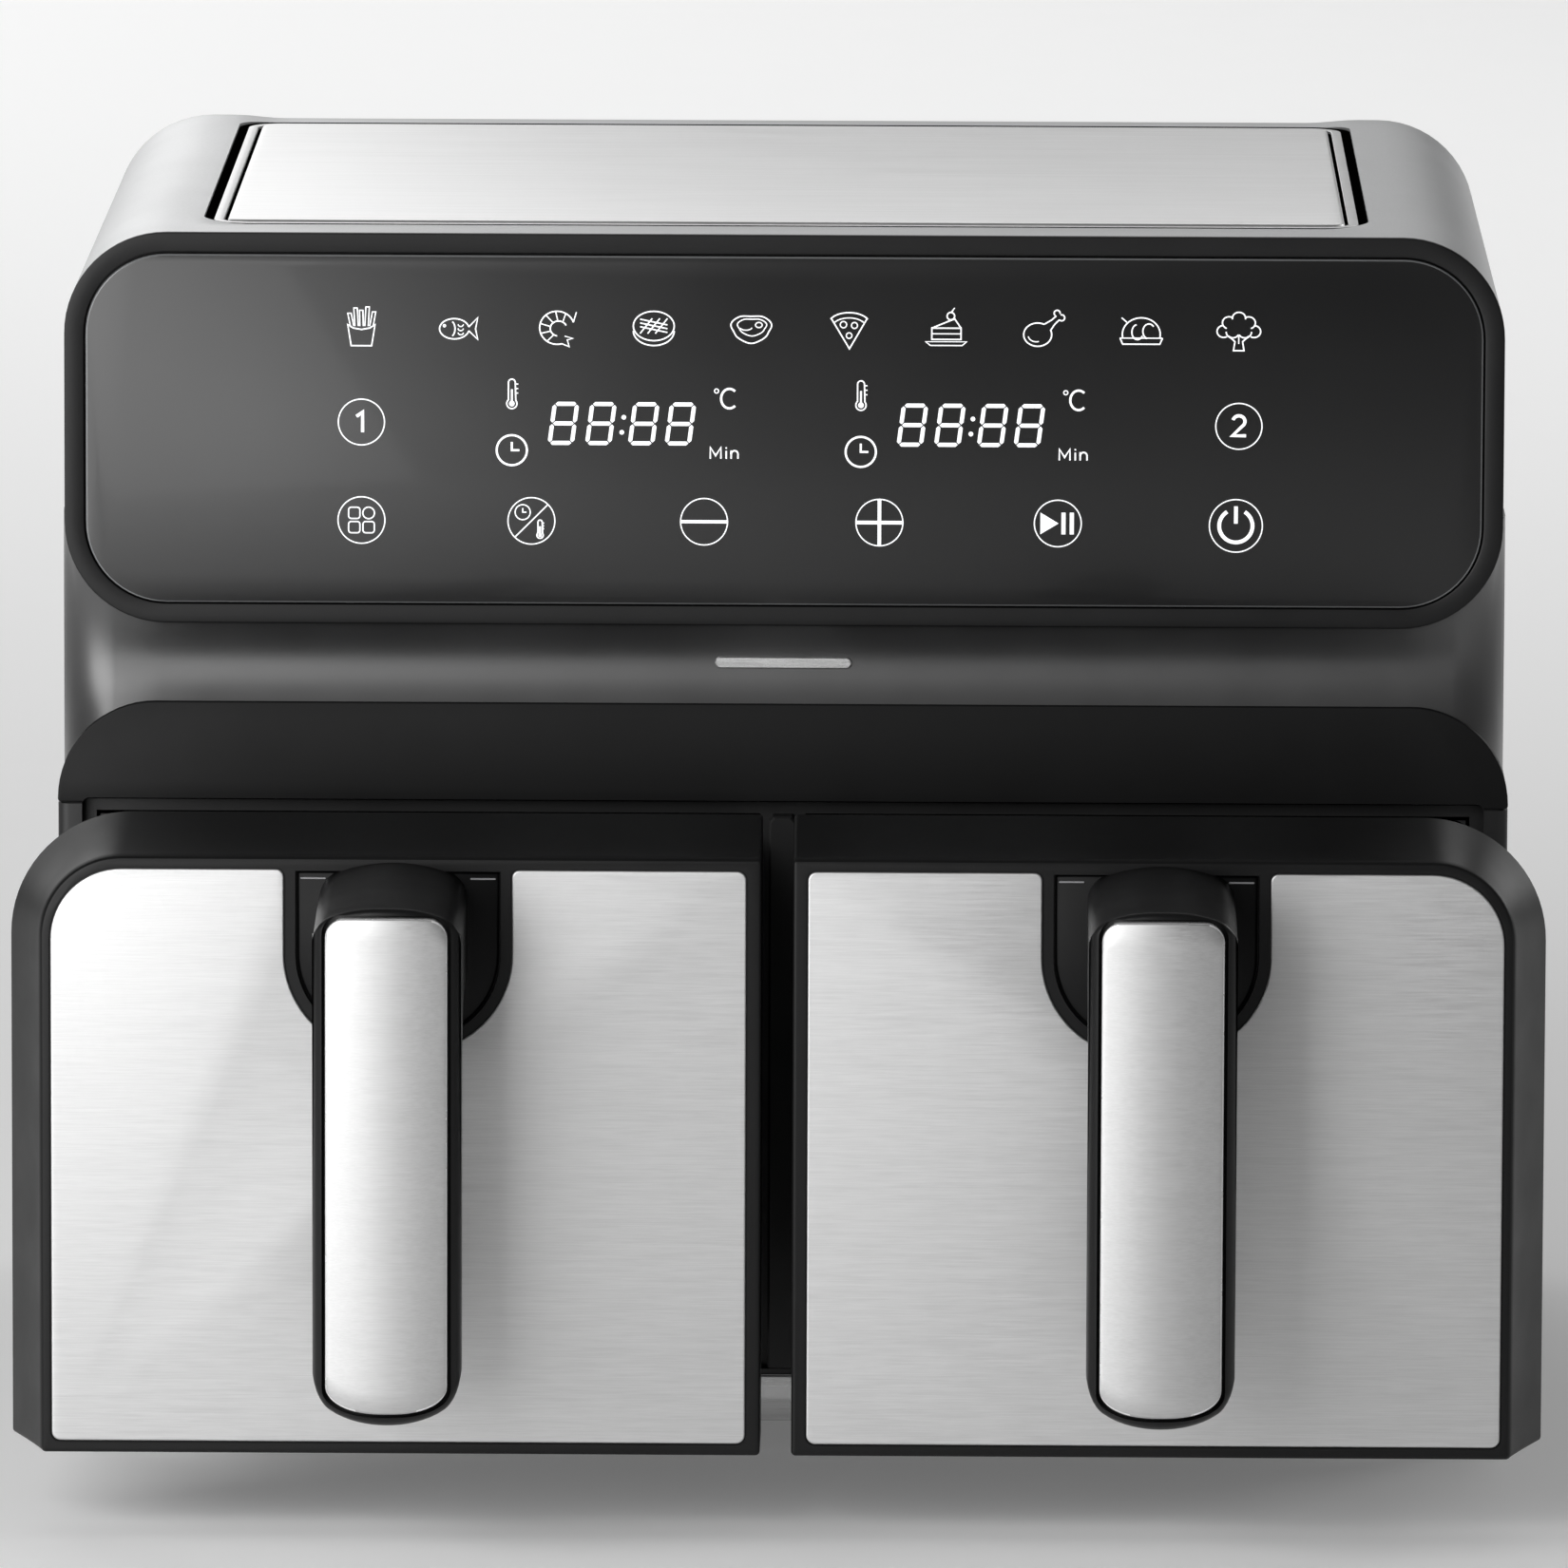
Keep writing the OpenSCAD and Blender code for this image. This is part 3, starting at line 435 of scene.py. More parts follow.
class Tree:
    """A Geometry Nodes tree under construction"""

    def __init__(self, name, inputs, takes_geometry=False):
        self.group = bpy.data.node_groups.new(name, "GeometryNodeTree")
        face = self.group.interface
        face.new_socket("Geometry", in_out="OUTPUT", socket_type="NodeSocketGeometry")
        if takes_geometry:
            face.new_socket("Geometry", in_out="INPUT", socket_type="NodeSocketGeometry")
        for label, kind in inputs.items():
            face.new_socket(label, in_out="INPUT", socket_type="NodeSocket" + kind)
        self.source = self.group.nodes.new("NodeGroupInput").outputs
        self.sink = self.group.nodes.new("NodeGroupOutput").inputs[0]

    def add(self, kind, inputs=None, **settings):
        made = self.group.nodes.new(kind)
        for label, value in settings.items():
            setattr(made, label, value)
        for label, value in (inputs or {}).items():
            if isinstance(value, bpy.types.NodeSocket):
                self.group.links.new(value, made.inputs[label])
            else:
                made.inputs[label].default_value = value
        return made.outputs

    def maths(self, operation, a, b):
        return self.add("ShaderNodeMath", {0: a, 1: b}, operation=operation)[0]

    def vector(self, x, y=0.0, z=0.0):
        return self.add("ShaderNodeCombineXYZ", {"X": x, "Y": y, "Z": z})[0]

    def close(self, geometry):
        """Ends the tree: real geometry with its material"""
        real = self.add("GeometryNodeRealizeInstances", {"Geometry": geometry})["Geometry"]
        painted = self.add("GeometryNodeSetMaterial", {"Geometry": real, "Material": self.source["Material"]})
        self.group.links.new(painted["Geometry"], self.sink)
        return self.group

    def instances(self, points, shape, **more):
        made = self.add("GeometryNodeInstanceOnPoints", {"Points": points, "Instance": shape, **more})
        return made["Instances"]


def grow(tree_group, name, points=(), angle=32, **values):
    """Runs a tree on an object of these points and returns the result as a plain mesh"""
    mesh = bpy.data.meshes.new(name)
    mesh.from_pydata([row_point(*p) for p in points], [], [])
    made = bpy.data.objects.new(name, mesh)
    bpy.context.scene.collection.objects.link(made)
    step = made.modifiers.new("grow", "NODES")
    step.node_group = tree_group
    for item in tree_group.interface.items_tree:
        if item.in_out == "INPUT" and item.name in values:
            step[item.identifier] = values[item.name]
    return settle(made, angle)


# ---- Trees -----------------------------------------------------------------------------------

def set_out_tree():
    """The same piece on every point, each turned about an axis by its own fixed amount"""
    inputs = {"Piece": "Object", "Most Turn": "Float", "Axis": "Vector", "Seed": "Int",
              "Material": "Material"}
    tree = Tree("set_out_on_points", inputs, takes_geometry=True)
    shape = tree.add("GeometryNodeObjectInfo", {"Object": tree.source["Piece"]}, transform_space="ORIGINAL")
    chance = tree.add("FunctionNodeRandomValue", {3: tree.source["Most Turn"], "Seed": tree.source["Seed"]},
                      data_type="FLOAT")
    turn = tree.add("ShaderNodeVectorMath", {0: tree.source["Axis"], "Scale": chance[1]}, operation="SCALE")
    return tree.close(tree.instances(tree.source["Geometry"], shape["Geometry"], Rotation=turn[0]))


def perforated_tree():
    """A flat sheet with rows of round holes"""
    tree = Tree("perforated_sheet", {"Width": "Float", "Depth": "Float", "Thickness": "Float",
                                     "Columns": "Int", "Rows": "Int", "Pitch X": "Float", "Pitch Y": "Float",
                                     "Hole Radius": "Float", "Centre": "Vector", "Material": "Material"})
    size = tree.vector(tree.source["Width"], tree.source["Depth"], tree.source["Thickness"])
    sheet = tree.add("GeometryNodeMeshCube", {"Size": size})["Mesh"]
    columns, rows = tree.source["Columns"], tree.source["Rows"]
    wide = tree.maths("MULTIPLY", tree.source["Pitch X"], tree.maths("SUBTRACT", columns, 1))
    deep = tree.maths("MULTIPLY", tree.source["Pitch Y"], tree.maths("SUBTRACT", rows, 1))
    places = tree.add("GeometryNodeMeshGrid", {"Size X": wide, "Size Y": deep, "Vertices X": columns,
                                               "Vertices Y": rows})["Mesh"]
    punch = tree.add("GeometryNodeMeshCylinder", {"Vertices": 20, "Radius": tree.source["Hole Radius"],
                                                  "Depth": 0.01})["Mesh"]
    copies = tree.instances(places, punch)
    punches = tree.add("GeometryNodeRealizeInstances", {"Geometry": copies})["Geometry"]
    holed = tree.add("GeometryNodeMeshBoolean", {"Mesh 1": sheet, "Mesh 2": punches},
                     operation="DIFFERENCE")["Mesh"]
    placed = tree.add("GeometryNodeTransform", {"Geometry": holed, "Translation": tree.source["Centre"]})
    return tree.close(placed["Geometry"])


def louvre_tree():
    """A stack of tilted slats on every point, counted upwards"""
    inputs = {"Count": "Int", "Pitch": "Float", "Width": "Float", "Slat Height": "Float",
              "Slat Thickness": "Float", "Tilt": "Float", "Material": "Material"}
    tree = Tree("louvres", inputs, takes_geometry=True)
    bar = tree.add("GeometryNodeMeshCylinder", {"Vertices": 16, "Radius": 0.5, "Depth": 1.0})["Mesh"]
    on_its_side = (0.0, math.pi / 2, 0.0)
    laid = tree.add("GeometryNodeTransform", {"Geometry": bar, "Rotation": on_its_side})["Geometry"]
    size = tree.vector(tree.source["Width"], tree.source["Slat Thickness"], tree.source["Slat Height"])
    slat = tree.add("GeometryNodeTransform", {"Geometry": laid, "Scale": size})["Geometry"]
    step = tree.vector(0.0, 0.0, tree.source["Pitch"])
    stack = tree.add("GeometryNodeMeshLine", {"Count": tree.source["Count"], "Offset": step})["Mesh"]
    lean = tree.vector(tree.source["Tilt"])
    column = tree.instances(stack, slat, Rotation=lean)
    return tree.close(tree.instances(tree.source["Geometry"], column))


def wheel_tree():
    """Curved blades round a hub"""
    inputs = {"Blades": "Int", "Inner Radius": "Float", "Outer Radius": "Float", "Height": "Float",
              "Blade Thickness": "Float", "Sweep": "Float", "Twist": "Float", "Material": "Material"}
    tree = Tree("bladed_wheel", inputs, takes_geometry=True)
    inner, outer = tree.source["Inner Radius"], tree.source["Outer Radius"]
    long = tree.maths("SUBTRACT", outer, inner)
    size = tree.vector(long, tree.source["Blade Thickness"], tree.source["Height"])
    bar = tree.add("GeometryNodeMeshCube", {"Size": size, "Vertices X": 9, "Vertices Z": 3})["Mesh"]
    middle = tree.maths("MULTIPLY", tree.maths("ADD", outer, inner), 0.5)
    centre = tree.vector(middle, 0.0, tree.maths("MULTIPLY", tree.source["Height"], 0.5))
    moved = tree.add("GeometryNodeTransform", {"Geometry": bar, "Translation": centre})
    where = tree.add("ShaderNodeSeparateXYZ", {"Vector": tree.add("GeometryNodeInputPosition")[0]})
    along = tree.maths("DIVIDE", tree.maths("SUBTRACT", where["X"], inner), long)
    bend = tree.maths("MULTIPLY", tree.maths("MULTIPLY", along, along), tree.source["Sweep"])
    rise = tree.maths("DIVIDE", where["Z"], tree.source["Height"])
    lean = tree.maths("MULTIPLY", rise, tree.source["Twist"])
    bent = tree.add("GeometryNodeSetPosition", {"Geometry": moved["Geometry"],
                                                "Offset": tree.vector(0.0, tree.maths("ADD", bend, lean))})
    spots = tree.add("GeometryNodePoints", {"Count": tree.source["Blades"]})[0]
    turn = tree.maths("DIVIDE", tree.add("GeometryNodeInputIndex")[0], tree.source["Blades"])
    spin = tree.vector(0.0, 0.0, tree.maths("MULTIPLY", turn, 2 * math.pi))
    wheel = tree.instances(spots, bent["Geometry"], Rotation=spin)
    return tree.close(tree.instances(tree.source["Geometry"], wheel))


def coil_tree():
    """A flat spiral of tube on every point"""
    tree = Tree("spiral_tube", {"Turns": "Float", "Inner Radius": "Float", "Outer Radius": "Float",
                                "Tube Radius": "Float", "Material": "Material"}, takes_geometry=True)
    line = tree.add("GeometryNodeCurveSpiral", {"Resolution": 40, "Rotations": tree.source["Turns"],
                                                "Start Radius": tree.source["Inner Radius"],
                                                "End Radius": tree.source["Outer Radius"],
                                                "Height": 0.0})["Curve"]
    tube_radius = tree.source["Tube Radius"]
    section = tree.add("GeometryNodeCurvePrimitiveCircle", {"Resolution": 12, "Radius": tube_radius})["Curve"]
    tube = tree.add("GeometryNodeCurveToMesh", {"Curve": line, "Profile Curve": section,
                                                "Fill Caps": True})["Mesh"]
    return tree.close(tree.instances(tree.source["Geometry"], tube))


def guard_tree():
    """Rings of wire in one plane, joined by spokes, on every point"""
    tree = Tree("wire_guard", {"Rings": "Int", "Spokes": "Int", "Radius": "Float", "Wire Radius": "Float",
                               "Material": "Material"}, takes_geometry=True)
    wire_radius = tree.source["Wire Radius"]
    section = tree.add("GeometryNodeCurvePrimitiveCircle", {"Resolution": 8, "Radius": wire_radius})
    hoop = tree.add("GeometryNodeCurvePrimitiveCircle", {"Resolution": 64, "Radius": tree.source["Radius"]})
    ring_at = tree.add("GeometryNodePoints", {"Count": tree.source["Rings"]})[0]
    number = tree.maths("ADD", tree.add("GeometryNodeInputIndex")[0], 1.0)
    share = tree.maths("DIVIDE", number, tree.source["Rings"])
    rings = tree.instances(ring_at, hoop["Curve"], Scale=tree.vector(share, share, 1.0))
    inner = tree.maths("DIVIDE", tree.source["Radius"], tree.source["Rings"])
    spoke = tree.add("GeometryNodeCurvePrimitiveLine", {"Start": tree.vector(inner),
                                                        "End": tree.vector(tree.source["Radius"])})
    spoke_at = tree.add("GeometryNodePoints", {"Count": tree.source["Spokes"]})[0]
    turn = tree.maths("DIVIDE", tree.add("GeometryNodeInputIndex")[0], tree.source["Spokes"])
    spokes = tree.instances(spoke_at, spoke["Curve"],
                            Rotation=tree.vector(0.0, 0.0, tree.maths("MULTIPLY", turn, 2 * math.pi)))
    lines = tree.add("GeometryNodeJoinGeometry")[0]
    tree.group.links.new(rings, lines.node.inputs[0])
    tree.group.links.new(spokes, lines.node.inputs[0])
    real = tree.add("GeometryNodeRealizeInstances", {"Geometry": lines})["Geometry"]
    wire = tree.add("GeometryNodeCurveToMesh", {"Curve": real, "Profile Curve": section["Curve"],
                                                "Fill Caps": True})["Mesh"]
    return tree.close(tree.instances(tree.source["Geometry"], wire))


SET_OUT, PERFORATED, LOUVRES = set_out_tree(), perforated_tree(), louvre_tree()
WHEEL, COIL, GUARD = wheel_tree(), coil_tree(), guard_tree()


def merge(name, mat, *parts, angle=32):
    """Joins finished pieces into one"""
    work = bmesh.new()
    for part in parts:
        work.from_mesh(part.data)
    mesh = bpy.data.meshes.new(name)
    work.to_mesh(mesh)
    work.free()
    for part in parts:
        bpy.data.objects.remove(part)
    mesh.materials.append(mat)
    made = bpy.data.objects.new(name, mesh)
    bpy.context.scene.collection.objects.link(made)
    return settle(made, angle)


def at_own_origin(piece, x, y, z):
    """The piece for a tree to copy, with this point of it at the origin. It isn't rendered"""
    for vert in piece.data.vertices:
        vert.co -= row_point(x, y, z)
    piece.hide_render = True
    return piece


def ease(t):
    t = max(0.0, min(1.0, t))
    return t * t * (3 - 2 * t)


# ---- Top: shell, seat, trim ring and plate ----------------------------------------------------

SUNK = 0.9
TOP_X = [160, 157, 154.5, 152, 149, 146, 143, 138, 132] + list(range(124, 0, -8))
TOP_X += [0] + [-x for x in reversed(TOP_X)]


def shell_row(by, y, low):
    """One line across the shell, from its lower right edge over the top to its lower left edge"""
    radius = max(CORNER - by, 2)
    x1, z1 = HALF_W - by, TOP_Z - by
    start = z1 - radius
    side = [(x1, low + (start - low) * t) for t in (0, 0.2, 0.4, 0.6, 0.8)]
    crown = arc(x1 - radius, start, radius, 0, 90, 14)
    flat = [(x * (x1 - radius) / 163, z1) for x in TOP_X]
    line = side + crown + flat
    line += [(-x, z) for x, z in reversed(side + crown)]
    sunk = SUNK * ease((y - 14) / 14) * ease(1 - by / 14)
    return [(x, y, z - (sunk * ease((157 - abs(x)) / 14) if z > start + radius / 2 else 0)) for x, z in line]


def plate_slot():
    """Outline of the opening in the shell for the steel plate"""
    side, front, back = PLATE[1] + 6.3, PLATE[2] - 6.3, PLATE[3] + 6.3
    return round_loop(-side, side, front, back, [12] * 4, 10)


def top_shell():
    rear, rear_r = BACK_Y, 12
    flat_to = rear - rear_r
    rows, inner = [], []

    def low_at(y):
        return SHELL_LOW + (SEAM_Z - SHELL_LOW) * ease((y - WRAP_Y + 1.6) / 3.2)

    straight = [1.2, 1.5] + list(range(4, 29, 4)) + [33, 38, 38.6, 39.2, 39.8, 40.4, 41, 41.7]
    straight += list(range(48, 278, 10))
    for y in straight + [flat_to]:
        by = 0.25 if y == 1.2 else 0
        rows.append(shell_row(by, y, low_at(y)))
        inner.append(shell_row(SHELL_T, y, low_at(y)))
    for k in range(1, 9):
        turn = math.radians(90 * k / 8)
        inward, back = 1 - math.cos(turn), math.sin(turn)
        rows.append(shell_row(rear_r * inward, flat_to + rear_r * back, SEAM_Z))
        short = rear_r - SHELL_T
        inner.append(shell_row(SHELL_T + short * inward, flat_to + short * back, SEAM_Z))
    for by in (16, 20, 24, 27):
        rows.append(shell_row(by, rear, SEAM_Z))
        inner.append(shell_row(by, rear - SHELL_T, SEAM_Z))
    shape = Shape()
    count = len(rows[0])
    for row in rows + inner:
        shape.points += row
    n = len(rows)
    for k in range(n - 1):
        for i in range(count - 1):
            a, b = k * count + i, (k + 1) * count + i
            c, d = a + n * count, b + n * count
            shape.faces += [(a, a + 1, b + 1, b), (c, d, d + 1, c + 1)]
        for i in (0, count - 1):
            a, b = k * count + i, (k + 1) * count + i
            shape.faces.append((a, b, b + n * count, a + n * count))
    for k in (0, n - 1):
        for i in range(count - 1):
            a = k * count + i
            shape.faces.append((a, a + 1, a + 1 + n * count, a + n * count))
    piece = to_object(shape, "shell_skin", silver_shell)
    slot = Shape().slab(plate_slot(), [(0, TOP_Z - 15), (0, TOP_Z + 10)], facing_up)
    holes = Shape()
    for x in (-COVER[1] + 6, COVER[1] - 6):
        for z in (178, COVER[5] - 20):
            holes.lathe(x, z, [(2, rear - 8), (2, rear + 4)], 16, "Y")
    cut(piece, slot, holes)
    settle(piece, 28)
    housing_piece(piece, "silver_paint", "top_shell")


def top_fittings():
    slot = plate_slot()
    low, under_shell = SEAT[4], TOP_Z - SHELL_T - SUNK - 0.1
    sill = TOP_Z - SUNK + 0.08
    rest = sill - 0.8
    # The seat's top, just under the shell's opening, carries the painted shade of the groove round the plate
    seat = Shape().hoop(slot, [(-4, low), (-4, under_shell), (0.1, under_shell), (0.1, sill), (2.5, sill),
                               (2.6, sill - 0.2), (2.6, rest), (6.1, rest), (6.2, low + 2), (18, low + 2),
                               (18.3, low)], facing_up)
    housing_piece(settle(to_object(seat, "plate_seat", black_seat)), "black_trim", "top_seat")

    ring = Shape().hoop(slot, [(2.65, rest), (2.65, sill - 0.15), (2.75, sill - 0.03), (2.9, sill),
                               (5.05, sill), (5.2, sill - 0.03), (5.3, sill - 0.15), (5.3, rest)], facing_up)
    housing_piece(settle(to_object(ring, "trim_ring", satin_trim)), "trim_silver", "top_trim_ring")

    plate = round_loop(PLATE[0], PLATE[1], PLATE[2], PLATE[3], [5.7] * 4, 10)
    top, roll = TOP_Z - 0.35, 1.1
    rolled = [(0, PLATE[4]), (0, top - roll)]
    rolled += [(roll * (1 - math.cos(math.radians(t))), top - roll * (1 - math.sin(math.radians(t))))
               for t in (15, 30, 45, 60, 75, 90)]
    shape = Shape().rings([[facing_up(u, v, z) for u, v in inset(plate, by)]
                           for by, z in [(1.4, PLATE[4]), (0, PLATE[4])] + rolled[1:]])
    piece = to_object(shape, "warming_plate", plate_steel)
    cut(piece, Shape().slab(plate, [(0.8, PLATE[4] - 1), (0.8, top - 1.6), (1.6, top - 0.9)], facing_up))
    housing_piece(settle(piece, 40), "brushed_steel", "top_plate")


# ---- Front housing: frame of the glass, neck and ledge ------------------------------------------

LEDGE_R = CORNER - 1
SKIRT_X = HALF_W + 1
NECK_DEEP = 4.2
MOUTH_X = BODY_X - 6.4


def head_edge(x):
    """Height of the control head's lower edge"""
    out = max(0.0, min(CORNER, abs(x) - (HALF_W - CORNER)))
    return HEAD_Z + CORNER - math.sqrt(CORNER ** 2 - out ** 2)


def ledge_edge(x):
    """Height of the ledge's upper edge"""
    out = max(0.0, min(LEDGE_R, abs(x) - (BODY_X - LEDGE_R)))
    return LEDGE_Z - LEDGE_R + math.sqrt(LEDGE_R ** 2 - out ** 2)


def neck_rows(thick):
    """The concave neck, from one side of the housing round the front to the other"""
    radius = 14
    plan = [(-SKIRT_X, WRAP_Y, -1, 0, 0), (-SKIRT_X, 28, -1, 0, 0), (-SKIRT_X, 18, -1, 0, 0)]
    for k in range(13):
        turn = math.radians(90 * k / 12)
        c, s = math.cos(turn), math.sin(turn)
        plan.append((-SKIRT_X + radius * (1 - c), 1 + radius * (1 - s), -c, -s, s))
    front = [(-SKIRT_X + radius + (SKIRT_X - radius) * k / 14, 1, 0, -1, 1) for k in range(1, 15)]
    half = plan + front
    plan = half + [(-x, y, -nx, ny, w) for x, y, nx, ny, w in reversed(half[:-1])]
    rows = []
    for x, y, nx, ny, w in plan:
        low, high = ledge_edge(x) - 1.5, head_edge(x) + 1.5
        row = []
        for k in range(25):
            t = k / 24
            deep = NECK_DEEP * w ** 0.8 * math.sin(math.pi * t) + thick
            row.append((x - nx * deep, y - ny * deep, low + (high - low) * t))
        rows.append(row)
    return rows


def front_housing():
    loop = round_loop(-HALF_W, HALF_W, HEAD_Z, TOP_Z, [CORNER] * 4, 16)
    frame_shape = Shape().hoop(loop, [(2.3, 19), (2.3, 1.5), (0, 1.5), (0, 0.45), (0.08, 0.18), (0.25, 0.05),
                                      (0.5, 0), (BEZEL - 1.0, 0), (BEZEL - 0.6, 0.15), (BEZEL - 0.45, 0.5),
                                      (BEZEL - 0.4, 2.6), (BEZEL + 3, 2.6), (BEZEL + 3, 5), (4.8, 5),
                                      (4.8, 19)])
    under = loop[:2 * 17]
    cheek = under + list(reversed(inset(loop, 2.5)[:2 * 17]))
    frame_shape.slab(cheek, [(0, 1.4), (0, WRAP_Y)])
    back = round_loop(-HALF_W + 8, HALF_W - 8, HEAD_Z + 8, TOP_Z - 8, [19] * 4, 8)
    frame_shape.slab(back, [(0, 2.7), (0, 5)])
    glass_frame = settle(to_object(frame_shape, "glass_frame", black_housing), 30)
    housing_piece(glass_frame, "black_plastic", "front_housing")

    outer, inner = neck_rows(0.0), neck_rows(2.5)
    neck = Shape()
    tall, wide = len(outer[0]), len(outer)
    for row in outer + inner:
        neck.points += row
    for k in range(wide - 1):
        for i in range(tall - 1):
            a, b = k * tall + i, (k + 1) * tall + i
            c, d = a + wide * tall, b + wide * tall
            neck.faces += [(a, b, b + 1, a + 1), (c, c + 1, d + 1, d)]
        for i in (0, tall - 1):
            a, b = k * tall + i, (k + 1) * tall + i
            neck.faces.append((a, a + wide * tall, b + wide * tall, b))
    for k in (0, wide - 1):
        for i in range(tall - 1):
            a = k * tall + i
            neck.faces.append((a, a + 1, a + 1 + wide * tall, a + wide * tall))
    housing_piece(settle(to_object(neck, "concave_neck", black_neck), 50), "black_plastic")

    loop = round_loop(-BODY_X, BODY_X, SEAM_Z, LEDGE_Z, [0.9, 0.9, LEDGE_R, LEDGE_R], 16)
    ledge = Shape().slab(loop, edge_layers(3, 0, 0.4))
    path = [(BODY_X, SEAM_Z)] + loop[34:] + [(-BODY_X, SEAM_Z)]
    within = inset(loop, 2.5)[34:]
    path += [(-BODY_X + 2.5, SEAM_Z)] + list(reversed(within)) + [(BODY_X - 2.5, SEAM_Z)]
    band = Shape().slab(path, [(0, 2.9), (0, WRAP_Y)])
    plate = to_object(ledge, "plate", black_ledge)
    recess = round_loop(-MOUTH_X, MOUTH_X, SEAM_Z - 8, SEAM_Z + 1.2, [2] * 4, 6)
    cut(plate, Shape().slab(recess, [(0, -2), (0, 6)]))
    rim = settle(to_object(band, "band", black_ledge))
    housing_piece(merge("ledge", black_ledge, plate, rim, angle=35), "black_plastic")


def control_glass():
    loop = round_loop(-GLASS_X, GLASS_X, GLASS_Z0, GLASS_Z1, [CORNER - BEZEL] * 4, 16)
    rounds = [(0, 2.5), (0, GLASS_Y + 0.55), (0.12, GLASS_Y + 0.24), (0.3, GLASS_Y + 0.07), (0.55, GLASS_Y)]
    glass = Shape().slab(loop, rounds)
    housing_piece(settle(to_object(glass, "touch_glass", black_glass), 50), "dark_glass", "control_glass")
    # A thin grey hoop round the edge of the glass: partly its ground edge, partly a painted highlight line
    edge = Shape().hoop(loop, [(0.1, GLASS_Y + 0.6), (-0.02, GLASS_Y + 0.6), (-0.02, GLASS_Y + 0.32),
                               (0.12, GLASS_Y + 0.1), (0.42, GLASS_Y - 0.02), (0.42, GLASS_Y + 0.2)])
    housing_piece(settle(to_object(edge, "ground_glass_edge", glass_edge), 60), "dark_glass")


def badge():
    x0, x1, _, _, z0, z1 = span("front_badge")
    mid = (z0 + z1) / 2
    front = 1 + NECK_DEEP - 0.7
    loop = round_loop(x0, x1, mid - 1.5, mid + 1.5, [1.45] * 4, 8)
    bar = Shape().slab(loop, [(0, front + 2.2), (0, front + 0.25), (0.25, front)])
    housing_piece(settle(to_object(bar, "blank_badge", badge_metal)), "badge_silver", "front_badge")


# ---- Printed symbols of the control glass --------------------------------------------------------

PRINT_BACK, PRINT_FRONT = GLASS_Y + 0.04, GLASS_Y - 0.03
FIGURE_LEAN = 0.13


def oval(x, z, rx, rz, start=0, end=360, steps=28):
    return [(x + rx * math.cos(t), z + rz * math.sin(t))
            for t in (math.radians(start + (end - start) * i / steps) for i in range(steps + 1))]


class Print:
    """Thin printed strokes on the glass, drawn about a centre"""

    def __init__(self):
        self.shape = Shape()
        self.at(0, 0)

    def at(self, x, z, scale=1.0):
        self.x, self.z, self.scale = x, z, scale
        return self

    def fill(self, loop):
        loop = [(self.x + u * self.scale, self.z + v * self.scale) for u, v in loop]
        self.shape.slab(loop, [(0, PRINT_BACK), (0, PRINT_FRONT)])

    def line(self, points, width=0.36):
        """An open or a closed stroke; it is closed where its ends meet"""
        half = width / 2 / self.scale
        shut = math.dist(points[0], points[-1]) < 1e-6
        if shut:
            points = points[:-1]
        left, right = [], []
        for i, (x, z) in enumerate(points):
            before = points[i - 1] if i or shut else points[0]
            after = points[(i + 1) % len(points)] if i < len(points) - 1 or shut else points[-1]
            a, b = Vector((x - before[0], z - before[1])), Vector((after[0] - x, after[1] - z))
            a = a.normalized() if a.length > 1e-9 else b.normalized()
            b = b.normalized() if b.length > 1e-9 else a
            turn = (a + b).normalized()
            side = Vector((-turn.y, turn.x))
            out = half / max(0.5, side.dot(Vector((-a.y, a.x))))
            left.append((x + side.x * out, z + side.y * out))
            right.append((x - side.x * out, z - side.y * out))
        if shut:
            sides = ((left, PRINT_BACK), (left, PRINT_FRONT), (right, PRINT_FRONT), (right, PRINT_BACK))
            self.shape.rings([[(self.x + u * self.scale, y, self.z + v * self.scale) for u, v in side]
                              for side, y in sides], True)
        else:
            self.fill(left + right[::-1])


def digit(ink, x, z):
    """A seven-segment figure with every segment lit, leaning to the right"""
    stroke, gap, half, wide = 1.08, 0.2, 5.2, 5.9

    def bar(x0, z0, x1, z1):
        d = Vector((x1 - x0, z1 - z0)).normalized()
        n = Vector((-d.y, d.x)) * stroke / 2
        a, b = Vector((x0, z0)) + d * gap, Vector((x1, z1)) - d * gap
        tip = d * stroke / 2
        loop = [a, a + tip - n, b - tip - n, b, b - tip + n, a + tip + n]
        ink.fill([(p.x + p.y * FIGURE_LEAN, p.y) for p in loop])
    ink.at(x, z)
    for level in (-half, 0, half):
        bar(-wide / 2, level, wide / 2, level)
    for edge in (-wide / 2, wide / 2):
        bar(edge, -half, edge, 0)
        bar(edge, 0, edge, half)


def thermometer(ink, x, z, size):
    ink.at(x, z, size)
    tube_end, bulb = oval(0, 3.0, 0.9, 0.9, 0, 180, 10), oval(0, -2.6, 1.35, 1.35, 140, 400, 18)
    ink.line(tube_end + [(-0.9, -1.6)] + bulb + [(0.9, 3.0)])
    ink.fill(oval(0, -2.6, 0.75, 0.75)[:-1])
    ink.line([(0, -2.6), (0, 1.2)], 0.5)
    for level in (0.2, 1.4, 2.6):
        ink.line([(0.9, level), (1.7, level)], 0.3)


def clock(ink, x, z, radius=4.0, width=0.55):
    ink.at(x, z)
    ink.line(oval(0, 0, radius, radius, 0, 360, 36), width)
    ink.line([(0, radius * 0.55), (0, 0), (radius * 0.5, 0)], width)


